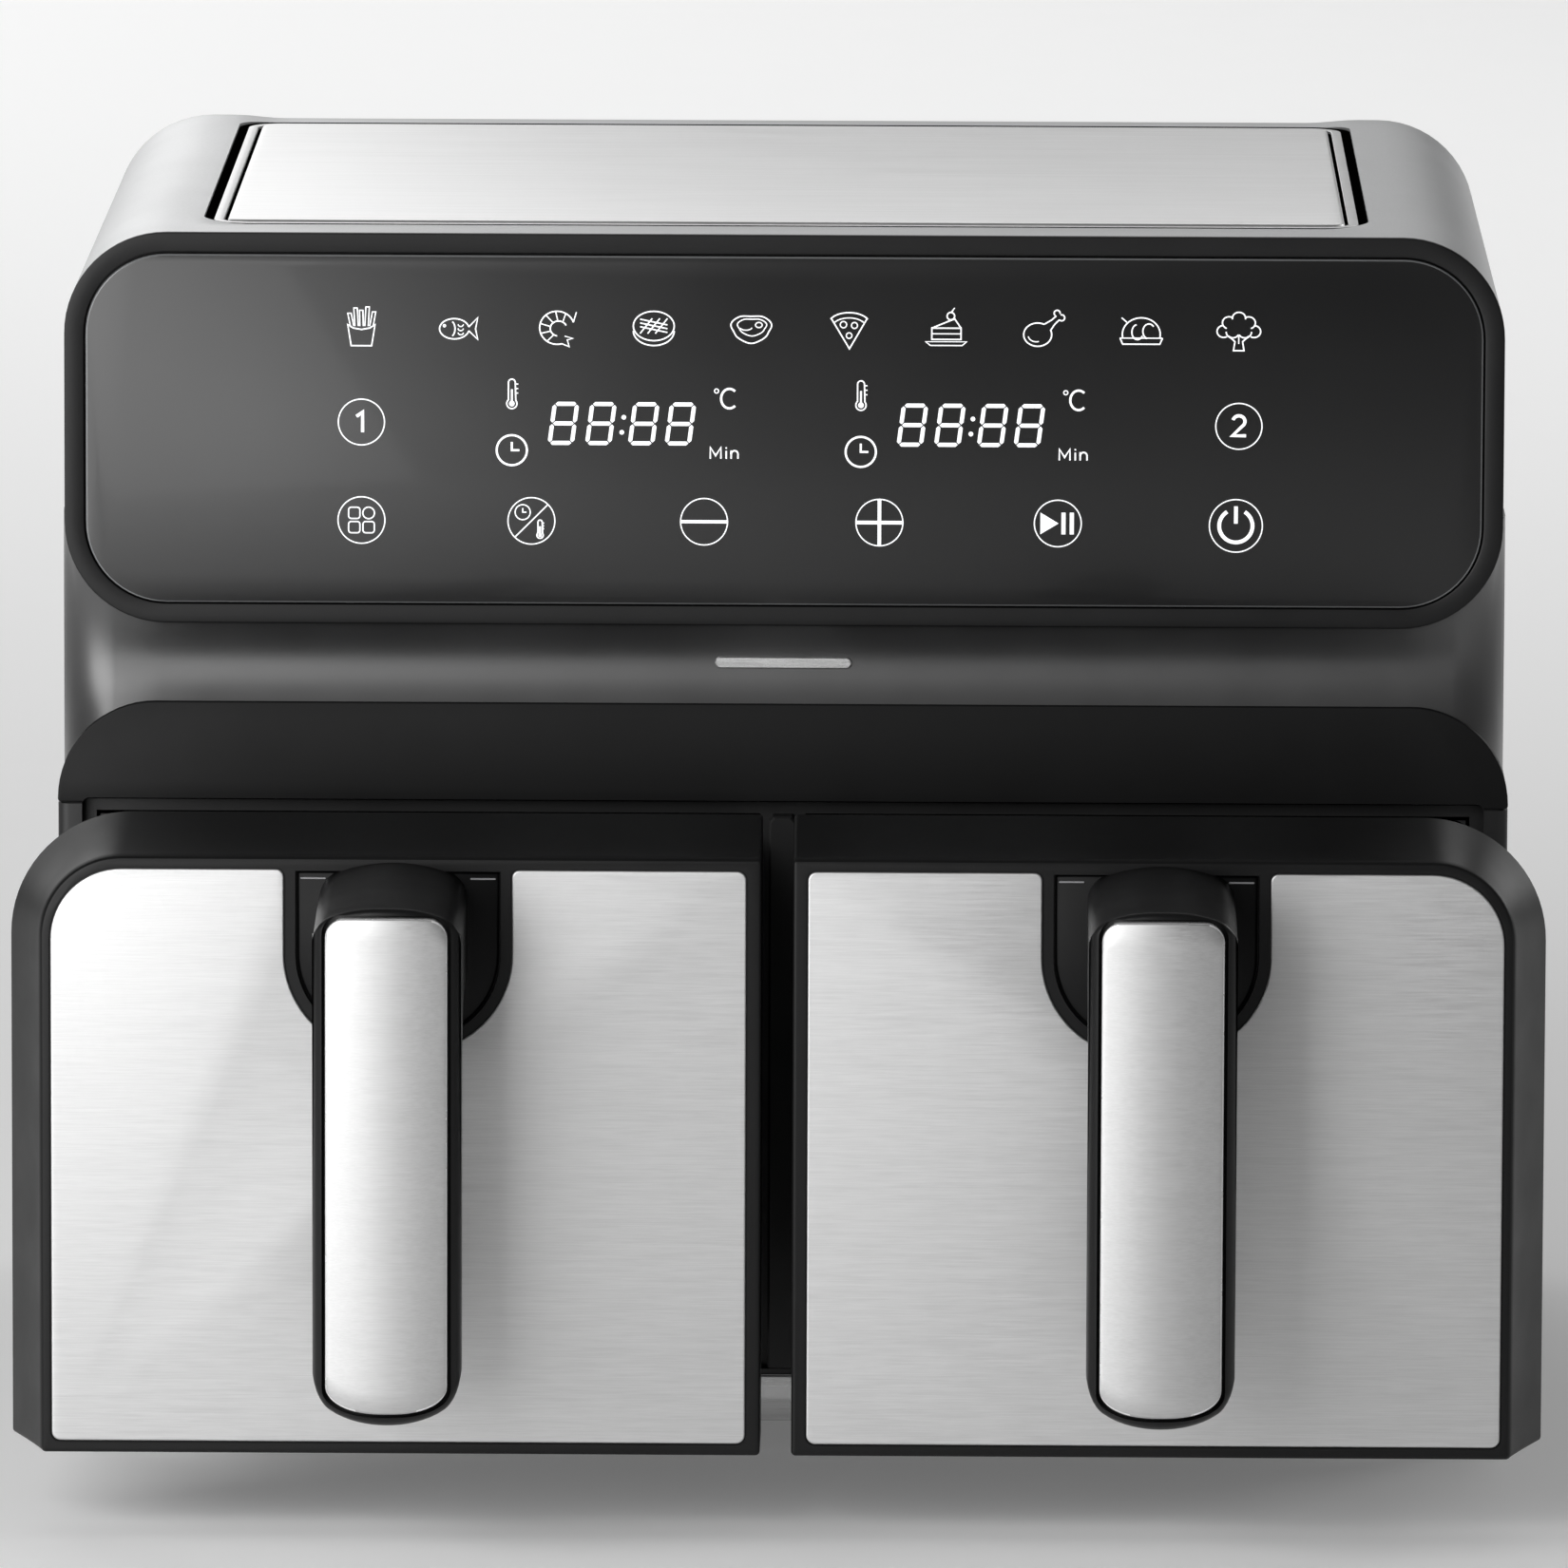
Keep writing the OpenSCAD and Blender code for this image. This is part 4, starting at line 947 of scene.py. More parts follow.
def food_symbols(ink, x, z, pitch):
    """Ten plain pictograms of dishes in a row"""
    ink.at(x, z)
    rim = [(3.6, 0.4), (2.2, -0.5), (0, -0.9), (-2.2, -0.5), (-3.6, 0.4)]
    ink.line([(-3.6, 0.4), (-2.7, -5.2), (2.7, -5.2)] + rim)
    for foot, top, tall in ((-2.9, -3.6, 3.4), (-1.7, -2.0, 4.8), (-0.4, -0.5, 4.2), (0.9, 1.2, 5.1),
                            (2.2, 2.9, 3.8)):
        ink.line([(foot, 0), (top, tall), (top + 0.9, tall), (foot + 0.9, 0)], 0.3)
    ink.at(x + pitch, z)
    ink.line(oval(-1.2, -0.6, 3.9, 2.7, 12, 348, 30))
    ink.line([(2.6, -0.1), (5.0, 2.4), (4.4, -0.6), (5.0, -3.4), (2.6, -1.1)])
    ink.line(oval(-2.4, -0.6, 1.4, 2.2, -60, 60, 10))
    ink.line(oval(-3.8, 0.2, 0.3, 0.3, 0, 360, 10), 0.3)
    for level in (0.6, -0.5, -1.6):
        ink.line(oval(0.5, level, 0.7, 0.6, 180, 360, 8), 0.28)
    ink.at(x + 2 * pitch, z)
    ink.line(oval(0.2, -0.2, 4.6, 4.4, 20, 285, 30))
    ink.line(oval(0.6, -0.4, 2.2, 2.0, 25, 260, 20))
    for t in (60, 95, 130, 165, 200, 235):
        c, s = math.cos(math.radians(t)), math.sin(math.radians(t))
        ink.line([(0.6 + 2.2 * c, -0.4 + 2.0 * s), (0.2 + 4.6 * c, -0.2 + 4.4 * s)], 0.3)
    ink.line([(1.4, -4.4), (3.4, -5.2), (2.9, -3.4), (4.4, -3.0), (2.2, -2.4)], 0.3)
    ink.line([(4.5, 1.3), (5.3, 4.0)], 0.3)
    ink.at(x + 3 * pitch, z)
    ink.line(oval(0, 0.4, 5.4, 3.9, 0, 360, 36))
    ink.line(oval(0, -0.9, 5.4, 3.9, 180, 360, 20))
    for k in (-2.0, 0.0, 2.0):
        ink.line([(k - 1.6, -1.6), (k + 1.6, 2.4)], 0.34)
        ink.line([(-3.6, k * 0.5 + 1.2), (3.6, k * 0.5 - 0.3)], 0.34)
    ink.at(x + 4 * pitch, z)
    wavy = [((5.2 + 0.35 * math.sin(5 * t)) * math.cos(t), (3.6 + 0.5 * math.sin(3 * t)) * math.sin(t))
            for t in (2 * math.pi * k / 48 for k in range(49))]
    wavy[-1] = wavy[0]
    ink.line(wavy)
    ink.line([(u * 0.72 + 0.2, v * 0.62 + 0.4) for u, v in wavy], 0.3)
    ink.line(oval(2.0, 0.8, 0.9, 0.7, 0, 360, 14), 0.3)
    ink.line(oval(-1.4, 0.2, 1.6, 0.8, 200, 350, 12), 0.3)
    ink.at(x + 5 * pitch, z)
    ink.line([(-4.6, 2.6), (0.2, -5.4), (4.8, 2.6)])
    ink.line(oval(0.1, 1.2, 5.4, 3.0, 25, 155, 18))
    ink.line(oval(0.1, 0.4, 4.4, 2.4, 30, 150, 16), 0.3)
    for u, v, r in ((-1.4, 1.0, 0.85), (1.5, 0.8, 0.8), (0.1, -1.9, 0.75)):
        ink.line(oval(u, v, r, r, 0, 360, 16), 0.3)
    ink.at(x + 6 * pitch, z)
    ink.line([(-3.8, -2.8), (-3.8, 0.2), (3.9, 0.2), (3.9, -2.8), (-3.8, -2.8)])
    ink.line([(-3.8, 0.2), (2.2, 2.7), (3.9, 0.2)])
    ink.line([(-3.8, -1.3), (3.9, -1.3)], 0.3)
    ink.line([(-5.4, -3.4), (5.4, -3.4), (4.2, -4.4), (-4.2, -4.4), (-5.4, -3.4)], 0.3)
    ink.line(oval(1.2, 3.4, 1.0, 1.0, 0, 360, 16))
    ink.line([(1.3, 4.4), (2.2, 5.6)], 0.3)
    ink.at(x + 7 * pitch, z)
    ink.line(oval(-1.6, -1.4, 3.7, 3.1, 62, 385, 28))
    ink.line([(0.2, 1.4), (2.2, 2.6), (3.3, 3.6)])
    ink.line([(1.9, -0.1), (2.9, 1.4), (4.1, 2.6)])
    ink.line(oval(3.5, 4.3, 0.8, 0.8, -10, 230, 12))
    ink.line(oval(4.7, 3.1, 0.8, 0.8, 230, 470, 12))
    ink.line(oval(-2.0, -1.6, 2.1, 1.7, 190, 290, 8), 0.3)
    ink.at(x + 8 * pitch, z)
    ink.line(oval(0, -1.2, 5.0, 4.4, -12, 192, 26))
    ink.line([(-5.6, -2.2), (-4.9, -3.8), (4.9, -3.8), (5.6, -2.2)])
    ink.line([(-5.6, -2.2), (5.6, -2.2)], 0.3)
    ink.line(oval(-1.0, -0.6, 1.5, 2.0, 100, 330, 14))
    ink.line(oval(2.0, -0.4, 1.6, 2.0, 40, 250, 14))
    ink.line([(-3.8, 2.0), (-5.2, 3.2)], 0.34)
    ink.at(x + 9 * pitch, z)
    for u, v, a, b in ((0, 3.2, -10, 190), (-2.6, 2.0, 60, 250), (2.6, 2.0, -70, 120), (-4.0, -0.3, 100, 300),
                       (4.0, -0.3, -120, 80), (-1.6, -0.4, 180, 330), (1.6, -0.4, 210, 360)):
        ink.line(oval(u, v, 1.75, 1.6, a, b, 12))
    ink.line([(-2.6, -1.6), (-1.0, -3.0), (-1.4, -5.4), (1.4, -5.4), (1.0, -3.0), (2.6, -1.6)])
    ink.line([(0, -1.4), (0, -3.6)], 0.3)


def control_symbols():
    ink = Print()
    mid = (GLASS_Z0 + GLASS_Z1) / 2
    food_symbols(ink, -111.5, mid + 27.4, 25.7)
    for left, x in ((True, -111.5), (False, 120.0)):
        ink.at(x, mid + 1.9)
        ink.line(oval(0, 0, 6.1, 6.1, 0, 360, 48), 0.32)
        if left:
            ink.line([(-1.3, 1.5), (0.3, 2.6), (0.3, -2.7)], 0.85)
        else:
            ink.line(oval(0, 1.3, 1.6, 1.5, 165, -35, 14) + [(-1.7, -2.5), (1.9, -2.5)], 0.85)
    for x in (-71.8, 20.3):
        thermometer(ink, x, mid + 9.6, 1.0)
        clock(ink, x, mid - 5.4)
        for step in (0, 9.9, 21.2, 30.9):
            digit(ink, x + 13.6 + step, mid + 1.8)
        for level in (-2.1, 1.9):
            ink.at(x + 29.3, mid + 1.6)
            ink.fill([(u + level * FIGURE_LEAN, v + level) for u, v in oval(0, 0, 0.62, 0.62, 0, 342, 19)])
        ink.at(x + 56.8, mid + 8.6)
        ink.line(oval(-2.8, 2.0, 0.55, 0.55, 0, 360, 14), 0.3)
        ink.line(oval(0.6, 0, 2.2, 2.6, 48, 312, 22), 0.6)
        ink.at(x + 56.0, mid - 5.9)
        ink.line([(-3.6, -1.5), (-3.6, 1.5), (-2.2, -0.7), (-0.8, 1.5), (-0.8, -1.5)], 0.42)
        ink.line([(0.6, -1.5), (0.6, 0.6)], 0.42)
        ink.fill([(0.4, 1.15), (0.8, 1.15), (0.8, 1.55), (0.4, 1.55)])
        ink.line([(1.9, -1.5), (1.9, 0.7)], 0.42)
        ink.line(oval(2.8, -0.25, 0.9, 0.9, 180, 0, 10) + [(3.7, -1.5)], 0.42)
    low = mid - 24.2
    ring = oval(0, 0, 6.2, 6.2, 0, 360, 48)
    for x in (-111.5, -66.6, -21.0, 25.3, 72.4):
        ink.at(x, low)
        ink.line(ring, 0.32)
    ink.at(-111.5, low)
    for u, v in ((-1.9, 1.9), (-1.9, -1.9), (1.9, -1.9)):
        ink.line(round_loop(u - 1.5, u + 1.5, v - 1.5, v + 1.5, [0.7] * 4, 4) + [(u - 1.5, v - 0.8)], 0.34)
    ink.line(oval(1.9, 1.9, 1.55, 1.55, 0, 360, 20), 0.34)
    ink.at(-66.6, low)
    ink.line([(-4.3, -4.3), (4.3, 4.3)], 0.34)
    clock(ink, -68.9, low + 2.3, 2.0, 0.32)
    thermometer(ink, -64.3, low - 2.2, 0.62)
    ink.at(-21.0, low)
    ink.line([(-6.1, 0), (6.1, 0)], 0.85)
    ink.at(25.3, low)
    ink.line([(-6.1, 0), (6.1, 0)], 0.95)
    ink.line([(0, -6.1), (0, 6.1)], 0.95)
    ink.at(72.4, low)
    ink.fill([(-4.6, -2.9), (0.2, 0), (-4.6, 2.9)])
    for u in (1.5, 3.7):
        ink.fill([(u - 0.55, -2.9), (u + 0.55, -2.9), (u + 0.55, 2.9), (u - 0.55, 2.9)])
    ink.at(119.4, low - 0.4)
    ink.line(oval(0, 0, 7.0, 7.0, 0, 360, 52), 0.32)
    ink.line(oval(0, 0, 4.4, 4.4, 122, 418, 36), 1.0)
    ink.line([(0, 0.6), (0, 5.2)], 1.0)
    piece = settle(to_object(ink.shape, "control_symbols", symbol_white), 30)
    housing_piece(piece, "dark_glass")


# ---- Lower body, base and rear -------------------------------------------------------------------

def cover_loop(by, steps=8):
    radius = CORNER / 2
    return round_loop(COVER[0] + by, COVER[1] - by, COVER[4] + by, COVER[5] - by,
                      [max(0.3, 6 - by)] * 2 + [max(0.3, radius - by)] * 2, steps)


def lower_body():
    plan = round_loop(-BODY_X, BODY_X, 0, BACK_Y, [3, 3, 12, 12], 8)
    layers = [(0.5, BASE_Z), (0, BASE_Z + 0.5), (0, SEAM_Z - 0.5), (0.5, SEAM_Z)]
    body = to_object(Shape().slab(plan, layers, facing_up), "drawer_frame", black_body)
    hollow = Shape().slab(round_loop(-BODY_X + 2.5, BODY_X - 2.5, 8, BACK_Y - 2.5, [1, 1, 9.5, 9.5], 8),
                          [(0, BASE_Z - 3), (0, SEAM_Z + 3)], facing_up)
    recess = Shape().slab(round_loop(-MOUTH_X, MOUTH_X, FRONT[4], SEAM_Z + 8, [2] * 4, 6), [(0, -3), (0, 6)])
    mouths = Shape()
    for x0, x1 in ((CAVITY[0] + 1, CAVITY[1] - 1), (-CAVITY[1] + 1, -CAVITY[0] - 1)):
        mouths.slab(round_loop(x0, x1, CAVITY[4] + 1, 164, [3] * 4, 6), [(0, 3), (0, 12)])
    back = Shape().slab(cover_loop(12), [(0, BACK_Y - 5), (0, BACK_Y + 5)])
    cut(body, hollow, recess, mouths, back)
    half_post = [(3.5, 16), (3.5, 163.4), (2.5, 164.6), (2.5, SEAM_Z - 3)]
    outline = half_post + [(-x, z) for x, z in reversed(half_post)]
    post = Shape().slab(outline, [(0, 6.3), (0, 0.6), (0.5, 0.1)])
    made = merge("drawer_frame", black_body, body, settle(to_object(post, "post", black_body)), angle=30)
    housing_piece(made, "black_plastic", "lower_body")

    x0, x1, y0, y1, z0, z1 = span("base_trim")
    strip = Shape().slab(round_loop(x0, x1, z0, z1, [1.2] * 4, 4), edge_layers(y1, y0, 0.35, 3))
    housing_piece(settle(to_object(strip, "base_strip", trim_steel), 50), "brushed_steel", "base_trim")


def base_pan():
    x0, x1, y0, y1, _, z1 = span("base_pan")
    plan = round_loop(x0, x1, y0 + 0.02, y1, [2, 2, 11, 11], 8)
    pan = to_object(Shape().slab(plan, [(1.8, 0), (0.9, 0.35), (0.3, 1.0), (0, 2.0), (0, z1)], facing_up),
                    "base_shell", base_plastic)
    cut(pan, Shape().slab(plan, [(2.6, 2.5), (2.6, z1 + 3)], facing_up),
        Shape().block(-BODY_X + 3.8, BODY_X - 3.8, -4, 1.02, 2.15, z1 + 4, 0.3))
    ribs = Shape()
    for side in (-1, 1):
        for x in (FAN_X - 50, FAN_X + 50):
            ribs.block(side * x - 1.5, side * x + 1.5, 12, 235, 2.4, CAVITY[4] - 0.02, 0.6)
    slots = Shape()
    for side in (-1, 1):
        for k in range(9):
            y = 90 + 12 * k
            slots.block(side * FAN_X - 34, side * FAN_X + 34, y, y + 4.5, -2, 4, 2.2)
    cut(pan, slots)
    floor = merge("base_shell", base_plastic, pan, settle(to_object(ribs, "ribs", base_plastic)), angle=40)
    housing_piece(floor, "black_plastic", "base_pan")

    foot = Shape().lathe(0, 0, [(6.0, 0), (8.2, 0), (9, 0.7), (9, 3.6), (8.4, 5), (5, 5)], 40)
    foot.lathe(0, 0, [(4.6, 0.02), (3.2, 0.6), (3.2, 4.9)], 24)
    source = at_own_origin(to_object(foot, "foot_source", foot_rubber), 0, 0, 5)
    x0, x1, y0, y1, _, _ = span("feet")
    spots = [(x, y, 0) for x in (x0 + 9, x1 - 9) for y in (y0 + 9, y1 - 9)]
    feet = grow(SET_OUT, "rubber_feet", spots, Piece=source, Axis=(0.0, 0.0, 1.0), Seed=3,
                Material=foot_rubber, **{"Most Turn": 0.3})
    bpy.data.objects.remove(source)
    housing_piece(feet, "rubber", "feet")


def screw_source(head_radius, head, shank_radius, shank):
    """A pan-head screw with a cross recess. Its head faces -Y and sits on y = 0"""
    body = to_object(Shape().lathe(0, 0, [(head_radius * 0.35, -head), (head_radius * 0.72, -head * 0.92),
                                          (head_radius * 0.93, -head * 0.62), (head_radius, -head * 0.2),
                                          (head_radius, 0.0)], 28, "Y"), "screw", screw_zinc)
    size = head_radius * 0.56
    across = Shape().block(-size, size, -head - 1, -head * 0.35, -size * 0.22, size * 0.22)
    upright = Shape().block(-size * 0.22, size * 0.22, -head - 1, -head * 0.35, -size, size)
    cut(body, across, upright)
    thread = []
    for k in range(int(shank / 0.8)):
        thread += [(shank_radius, 0.05 + 0.8 * k), (shank_radius * 0.86, 0.45 + 0.8 * k)]
    thread.append((shank_radius * 0.5, shank))
    stem = to_object(Shape().lathe(0, 0, thread, 16, "Y"), "stem", screw_zinc)
    return at_own_origin(merge("screw_source", screw_zinc, body, stem), 0, 0, 0)


def rear_cover():
    flat = BACK_Y + 9
    layers = edge_layers(BACK_Y, flat, 3, 6)
    cover = to_object(Shape().slab(cover_loop(0, 10), layers), "rear_panel", cover_plastic)
    hollow = Shape().slab(cover_loop(12), [(0, BACK_Y - 4), (0, flat - 2.5)])
    windows, holes = Shape(), Shape()
    for side in (-1, 1):
        windows.slab(round_loop(side * FAN_X - 43, side * FAN_X + 43, HEAD_Z - 1, HEAD_Z + 77, [4] * 4, 6),
                     [(0, flat - 5), (0, flat + 4)])
        windows.slab(round_loop(side * FAN_X - 46, side * FAN_X + 46, HEAD_Z - 4, HEAD_Z + 80, [6] * 4, 6),
                     [(0, flat - 0.8), (0, flat + 4)])
    windows.slab(round_loop(-62, 62, 96, 136, [3] * 4, 5), [(0, flat - 0.5), (0, flat + 4)])
    gland = span("cord_gland")
    gx, gz = (gland[0] + gland[1]) / 2, (gland[4] + gland[5]) / 2
    holes.lathe(gx, gz, [(6.6, BACK_Y - 2), (6.6, flat + 4)], 32, "Y")
    x1 = COVER[1] - 6
    heads = [(x, flat + 0.02, z) for x in (-x1, x1) for z in (COVER[4] + 20, SEAM_Z + 10, COVER[5] - 20)]
    for x, _, z in heads:
        holes.lathe(x, z, [(1.9, BACK_Y - 3), (1.9, flat + 3)], 16, "Y")
    cut(cover, hollow, windows, holes)
    ribs = Shape()
    for k in range(7):
        z = 40 + 7.2 * k
        ribs.slab(round_loop(-60, 60, z - 1, z + 1, [0.9] * 4, 3),
                  [(0, flat - 1), (0, flat + 0.5), (0.5, flat + 0.9)])
    ribs = settle(to_object(ribs, "ribs", cover_plastic))
    cover = merge("rear_panel", cover_plastic, cover, ribs, angle=34)
    housing_piece(cover, "black_plastic", "rear_cover")

    spots = [(side * FAN_X, flat - 1.6, HEAD_Z + 6.5) for side in (-1, 1)]
    slats = grow(LOUVRES, "air_outlet_slats", spots, Count=8, Pitch=9 * MM, Width=86.4 * MM, Tilt=-0.55,
                 Material=cover_plastic, **{"Slat Height": 5.6 * MM, "Slat Thickness": 1.8 * MM})
    housing_piece(slats, "black_plastic")

    source = screw_source(4, 1.6, 1.75, 17)
    for vert in source.data.vertices:
        vert.co.y, vert.co.x = -vert.co.y, -vert.co.x
    screws = grow(SET_OUT, "cover_screws", heads, Piece=source, Axis=(0.0, 1.0, 0.0), Seed=11,
                  Material=screw_zinc, **{"Most Turn": 1.5})
    bpy.data.objects.remove(source)
    housing_piece(screws, "screw_steel", "housing_screws")

    y0 = gland[2]
    profile = [(3.85, y0), (6.4, y0), (6.4, BACK_Y + 3.4), (8.6, BACK_Y + 3.4), (9, BACK_Y + 3.8),
               (9, BACK_Y + 6.1), (6.5, BACK_Y + 6.2), (6.5, flat + 0.05), (9, flat + 0.05), (9, flat + 1.6),
               (8.2, flat + 2.7), (7.0, flat + 3), (4.6, flat + 3), (3.85, flat + 2.4)]
    grommet = Shape().lathe(gx, gz, profile, 40, "Y", True)
    housing_piece(settle(to_object(grommet, "cord_grommet", gland_rubber), 40), "black_plastic", "cord_gland")


# ---- Drawers ---------------------------------------------------------------------------------------

DRAWER_X0, FLARE_X, DRAWER_Y0, DRAWER_Y1, DRAWER_Z0, FLARE_Z = FRONT
FACE_TOP = PANEL[5] + 3
RECESS = span("right_handle_plate")
NOTCH_X = (RECESS[0] + RECESS[1]) / 2
NOTCH_HALF = (RECESS[1] - RECESS[0]) / 2 + 3.4
NOTCH_R, NOTCH_Z = NOTCH_HALF - 3.8, RECESS[4] - 3.4


def panel_loop():
    """Outline of a steel face with its notch for the handle"""
    x0, x1, z0, z1 = PANEL[0], PANEL[1], PANEL[4], PANEL[5]
    lip, left, right = 2.0, NOTCH_X - NOTCH_HALF, NOTCH_X + NOTCH_HALF
    return (arc(x0 + 2.3, z0 + 2.3, 2.3, 180, 270, 6) + arc(x1 - 2.3, z0 + 2.3, 2.3, 270, 360, 6)
            + arc(x1 - 18.5, z1 - 18.5, 18.5, 0, 90, 16) + arc(right + lip, z1 - lip, lip, 90, 180, 6)
            + arc(NOTCH_X + NOTCH_HALF - NOTCH_R, NOTCH_Z + NOTCH_R, NOTCH_R, 0, -90, 18)
            + arc(NOTCH_X - NOTCH_HALF + NOTCH_R, NOTCH_Z + NOTCH_R, NOTCH_R, -90, -180, 18)
            + arc(left - lip, z1 - lip, lip, 0, 90, 6) + arc(x0 + 2.3, z1 - 2.3, 2.3, 90, 180, 6))


def recess_loop(by, top):
    """Outline of the recess in a notch, smaller than the notch by an amount"""
    half, radius = NOTCH_HALF - by, NOTCH_R - by
    return (arc(NOTCH_X - half + radius, NOTCH_Z + by + radius, radius, 180, 270, 18)
            + arc(NOTCH_X + half - radius, NOTCH_Z + by + radius, radius, 270, 360, 18)
            + [(NOTCH_X + half, top), (NOTCH_X - half, top)])


def drawer_front():
    face = round_loop(DRAWER_X0, HALF_W, DRAWER_Z0, FACE_TOP, [1.2, 1.2, 21, 1.0], 18)
    flare = round_loop(DRAWER_X0, FLARE_X, DRAWER_Z0, FLARE_Z, [1.2, 1.2, 32, 1.0], 18)
    deep = DRAWER_Y1 - DRAWER_Y0
    rings = [[facing_front(u, v, DRAWER_Y0) for u, v in inset(face, 0.9)],
             [facing_front(u, v, DRAWER_Y0 + 0.12) for u, v in inset(face, 0.45)],
             [facing_front(u, v, DRAWER_Y0 + 0.45) for u, v in inset(face, 0.12)]]
    for t in (0.03, 0.1, 0.22, 0.36, 0.5, 0.64, 0.78, 0.9, 0.955):
        share = t ** 1.12 / 0.955 ** 1.12
        ring = [((1 - share) * a + share * c, (1 - share) * b + share * d)
                for (a, b), (c, d) in zip(face, flare)]
        rings.append([facing_front(u, v, DRAWER_Y0 + deep * t) for u, v in ring])
    for by, y in ((0.1, DRAWER_Y1 - 0.7), (0.35, DRAWER_Y1 - 0.25), (0.8, DRAWER_Y1)):
        rings.append([facing_front(u, v, y) for u, v in inset(flare, by)])
    inner = round_loop(DRAWER_X0 + 3, HALF_W - 3, DRAWER_Z0 + 3, FACE_TOP - 3, [1, 1, 18, 1], 18)
    deeper = round_loop(DRAWER_X0 + 5, HALF_W - 5, DRAWER_Z0 + 5, FACE_TOP - 5, [1, 1, 16, 1], 18)
    rings.append([facing_front(u, v, DRAWER_Y1) for u, v in inner])
    rings.append([facing_front(u, v, DRAWER_Y1 - 2.4) for u, v in inner])
    rings.append([facing_front(u, v, DRAWER_Y1 - 2.4) for u, v in deeper])
    rings.append([facing_front(u, v, DRAWER_Y0 + 5) for u, v in deeper])
    front = to_object(Shape().rings(rings), "drawer_front_shell", black_frame)
    pocket = Shape().slab(inset(panel_loop(), -0.45), [(0, DRAWER_Y0 - 2), (0, DRAWER_Y0 + 0.55)])
    recess = Shape().slab(recess_loop(2.9, RECESS[5] + 0.4), [(0, DRAWER_Y0 - 2), (0, DRAWER_Y0 + 3)])
    cut(front, pocket, recess)
    both_sides(settle(front, 24), "black_plastic", "drawer", "drawer_front")

    x0, x1, y0, y1, z0, z1 = span("right_rear_plate")
    loop = round_loop(x0, x1, z0, z1, [1, 1, 17.8, 1], 14)
    plate = to_object(Shape().slab(loop, edge_layers(y0, y1 - 0.02, 0.5)), "drawer_rear_plate", black_body)
    border = round_loop(x0 + 1.6, x1 - 1.6, z0 + 1.6, z1 - 1.6, [1.2, 1.2, 16.2, 1.2], 14)
    cut(plate, Shape().hoop(border, [(0, y1 - 0.6), (0, y1 + 1), (0.9, y1 + 1), (0.9, y1 - 0.6)]))
    both_sides(settle(plate, 35), "black_plastic", "drawer", "rear_plate")


def face_panel():
    y0, y1 = PANEL[2], PANEL[3]
    layers = [(0, y1 - 0.05), (0, y0 + 0.38), (0.1, y0 + 0.14), (0.3, y0 + 0.02), (0.5, y0)]
    panel = to_object(Shape().slab(panel_loop(), layers), "steel_face", face_steel)
    both_sides(settle(panel, 50), "brushed_steel", "drawer", "face_panel")

    _, _, y0, y1, _, z1 = RECESS
    loop = recess_loop(3.4, z1)
    plate = Shape().slab(loop, [(0, y1), (0, y0 + 0.7), (0.25, y0 + 0.25), (0.7, y0)])
    # Two short, slightly raised bars along the plate's top edge, either side of the arm; their grey is a
    # painted highlight of that edge
    plate_edge_glints = Shape()
    for way in (-1, 1):
        bar = [NOTCH_X + way * 18.6, NOTCH_X + way * 25.2]
        plate_edge_glints.slab(round_loop(min(bar), max(bar), z1 - 1.9, z1 - 1.4, [0.24] * 4, 4),
                         [(0, y0 + 0.5), (0, y0 - 0.1), (0.12, y0 - 0.3)])
    recess_plate = settle(to_object(plate, "recess_plate", black_recess), 50)
    both_sides(recess_plate, "black_trim", "drawer", "handle_plate")
    both_sides(settle(to_object(plate_edge_glints, "recess_lines", line_grey), 50), "black_trim", "drawer")


